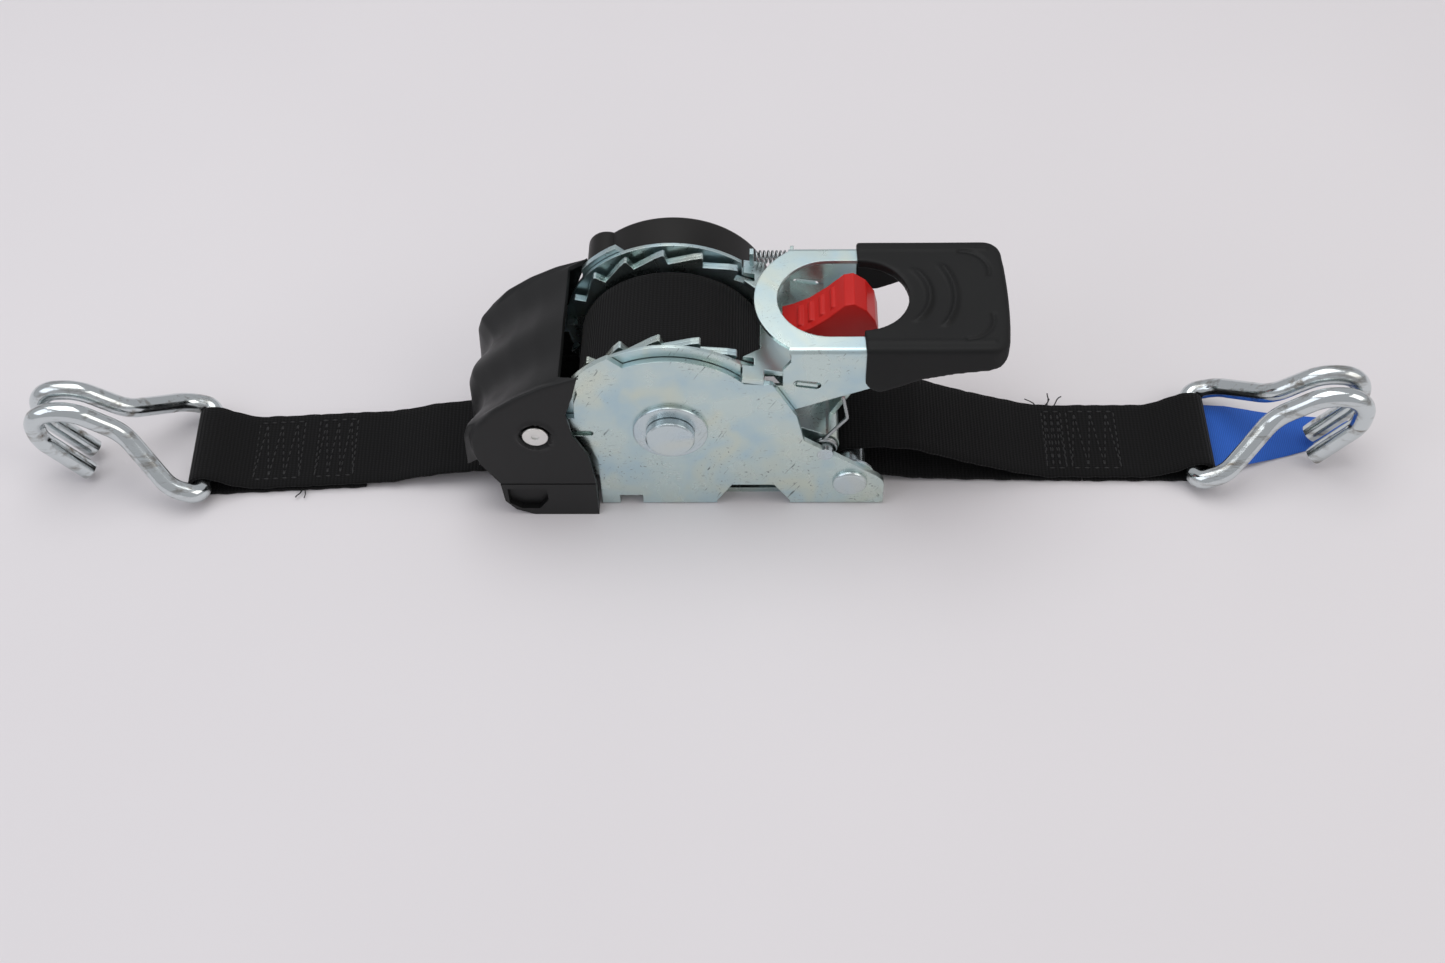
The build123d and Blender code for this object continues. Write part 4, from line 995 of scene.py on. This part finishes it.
@dataclass
class PawlCoil:
    """The small compression spring beside the handle, which the pawl's ear pushes on."""

    bench: Bench
    start_x: float = 40.9
    end_x: float = 58.4
    centre: Point = (38.4, 101.6)
    coil_radius: float = 2.9
    wire_mm: float = 1.1
    turns: float = 8.0
    travel: float = 8.0

    def build(self) -> bpy.types.Object:
        """Winds the wire's round section along X.

        Returns:
            The spring.
        """
        bm = bmesh.new()
        y, z = self.centre
        start = self.bench.at(self.start_x + self.wire_mm / 2, y + self.coil_radius, z)
        ring = bmesh.ops.create_circle(bm, segments=8, radius=self.wire_mm / 2 * MM,
                                       matrix=Matrix.Translation(start))
        steps = int(self.turns * 20)
        advance = (self.end_x - self.start_x - self.wire_mm) * MM / steps
        edges = [e for e in bm.edges if all(v in ring["verts"] for v in e.verts)]
        bmesh.ops.spin(bm, geom=[*ring["verts"], *edges], cent=self.bench.at(0.0, y, z), axis=(1.0, 0.0, 0.0),
                       dvec=(advance, 0.0, 0.0), angle=2 * math.pi * self.turns, steps=steps, use_duplicate=False)
        bmesh.ops.holes_fill(bm, edges=bm.edges, sides=0)
        bmesh.ops.recalc_face_normals(bm, faces=bm.faces)
        obj = mesh_object("pawl_coil", bm, Finish.SPRING.material())
        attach(obj, "handle")
        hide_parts("pawl_spring")
        tuple(self.bench.at(self.end_x, y, z))
        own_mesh(obj)
        LOG.info("wound the pawl spring")
        return obj


# ------------------------------------------------------------------------------------------ studio
@dataclass
class Studio:
    """A pale floor, soft lights and the camera."""

    bench: Bench
    camera_at: Place = (48.11, -587.32, 719.78)
    heading: float = -2.460
    pitch: float = 51.900
    roll: float = -2.007
    lens: float = 43.81
    floor: str = "DAD7D9"
    floor_cloud: str = "DDDADC"
    air: str = "E3E2E6"
    air_strength: float = 0.60

    def build(self) -> None:
        """Sets the studio up."""
        self.lay_floor()
        self.hang_lights()
        self.set_camera()

    def lay_floor(self) -> None:
        """Lays a wide matt floor."""
        bm = bmesh.new()
        bmesh.ops.create_grid(bm, x_segments=1, y_segments=1, size=4.0)
        material, tree = blank_material("studio_floor")
        place = add(tree, "ShaderNodeTexCoord").outputs["Object"]
        cloud = add(tree, "ShaderNodeTexNoise", {"Vector": place, "Scale": 3.0, "Detail": 2.0}).outputs[0]
        colour = ramp(tree, cloud, 0.3, 0.7, self.floor, self.floor_cloud)
        close_material(tree, {"Base Color": colour, "Roughness": 0.9})
        floor = mesh_object("studio_floor", bm, material, smooth=False)
        world = bpy.data.worlds.new("studio_air")
        world.use_nodes = True
        background = world.node_tree.nodes["Background"]
        background.inputs["Color"].default_value = linear(self.air)
        background.inputs["Strength"].default_value = self.air_strength
        bpy.context.scene.world = world
        bpy.context.scene.view_settings.view_transform = "Standard"

    def hang_lights(self) -> None:
        """Hangs a broad key over the object, a little behind it, and two softer fills."""
        target = self.bench.at(0.0, 0.0, 50.0)
        for name, place, size, energy, tone in (
            ("key", (-200.0, 330.0, 1900.0), 1.7, 18.0, "FFFFFF"),
            ("left_fill", (-1500.0, -700.0, 1400.0), 1.4, 7.0, "F3F6FF"),
            ("right_fill", (1500.0, -500.0, 1300.0), 1.2, 7.0, "FFF9F2"),
        ):
            lamp = bpy.data.lights.new(name, "AREA")
            lamp.size = size
            lamp.energy = energy
            lamp.color = linear(tone)[:3]
            obj = bpy.data.objects.new(name, lamp)
            obj.location = self.bench.at(*place)
            obj.rotation_euler = (target - obj.location).to_track_quat("-Z", "Y").to_euler()
            bpy.context.scene.collection.objects.link(obj)

    def set_camera(self) -> None:
        """Places the camera by its heading, pitch and roll."""
        yaw, down, roll = (math.radians(a) for a in (self.heading, self.pitch, self.roll))
        ahead = Vector((math.sin(yaw) * math.cos(down), math.cos(yaw) * math.cos(down), -math.sin(down)))
        level = Vector((math.cos(yaw), -math.sin(yaw), 0.0))
        upright = level.cross(ahead)
        right = level * math.cos(roll) + upright * math.sin(roll)
        up = upright * math.cos(roll) - level * math.sin(roll)
        data = bpy.data.cameras.new("camera")
        data.sensor_width = 36.0
        data.sensor_fit = "HORIZONTAL"
        data.lens = self.lens
        data.clip_end = 20.0
        camera = bpy.data.objects.new("camera", data)
        turn = Matrix((right, up, -ahead)).transposed().to_4x4()
        camera.matrix_world = Matrix.Translation(self.bench.at(*self.camera_at)) @ turn
        bpy.context.scene.collection.objects.link(camera)
        bpy.context.scene.camera = camera


def corners(box: Iterable[Sequence[float]]) -> list[list[float]]:
    """A box's two corners as plain lists."""
    return [[float(c) for c in corner] for corner in box]


def main() -> None:
    """Loads the frame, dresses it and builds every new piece."""
    logging.basicConfig(level=logging.INFO, format="%(name)s: %(message)s")
    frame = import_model()
    bench = Bench.from_frame()
    Studio(bench).build()
    dress_cad_nodes(frame)
    Webbing(bench).build()
    GuardHood(bench).build()
    Moulded("grip_moulding", "handle", "handle_grip", Finish.RUBBER, "grip_rubber", voxel_mm=0.9, soften=5,
            shape=Grip(bench).raise_ribs).build(frame)
    Moulded("trigger_moulding", "drive_pawl", "trigger", Finish.RED, "trigger_plastic", voxel_mm=0.35,
            soften=3).build(frame)
    PawlCoil(bench).build()
    bpy.context.view_layer.update()


if __name__ == "__main__":
    main()
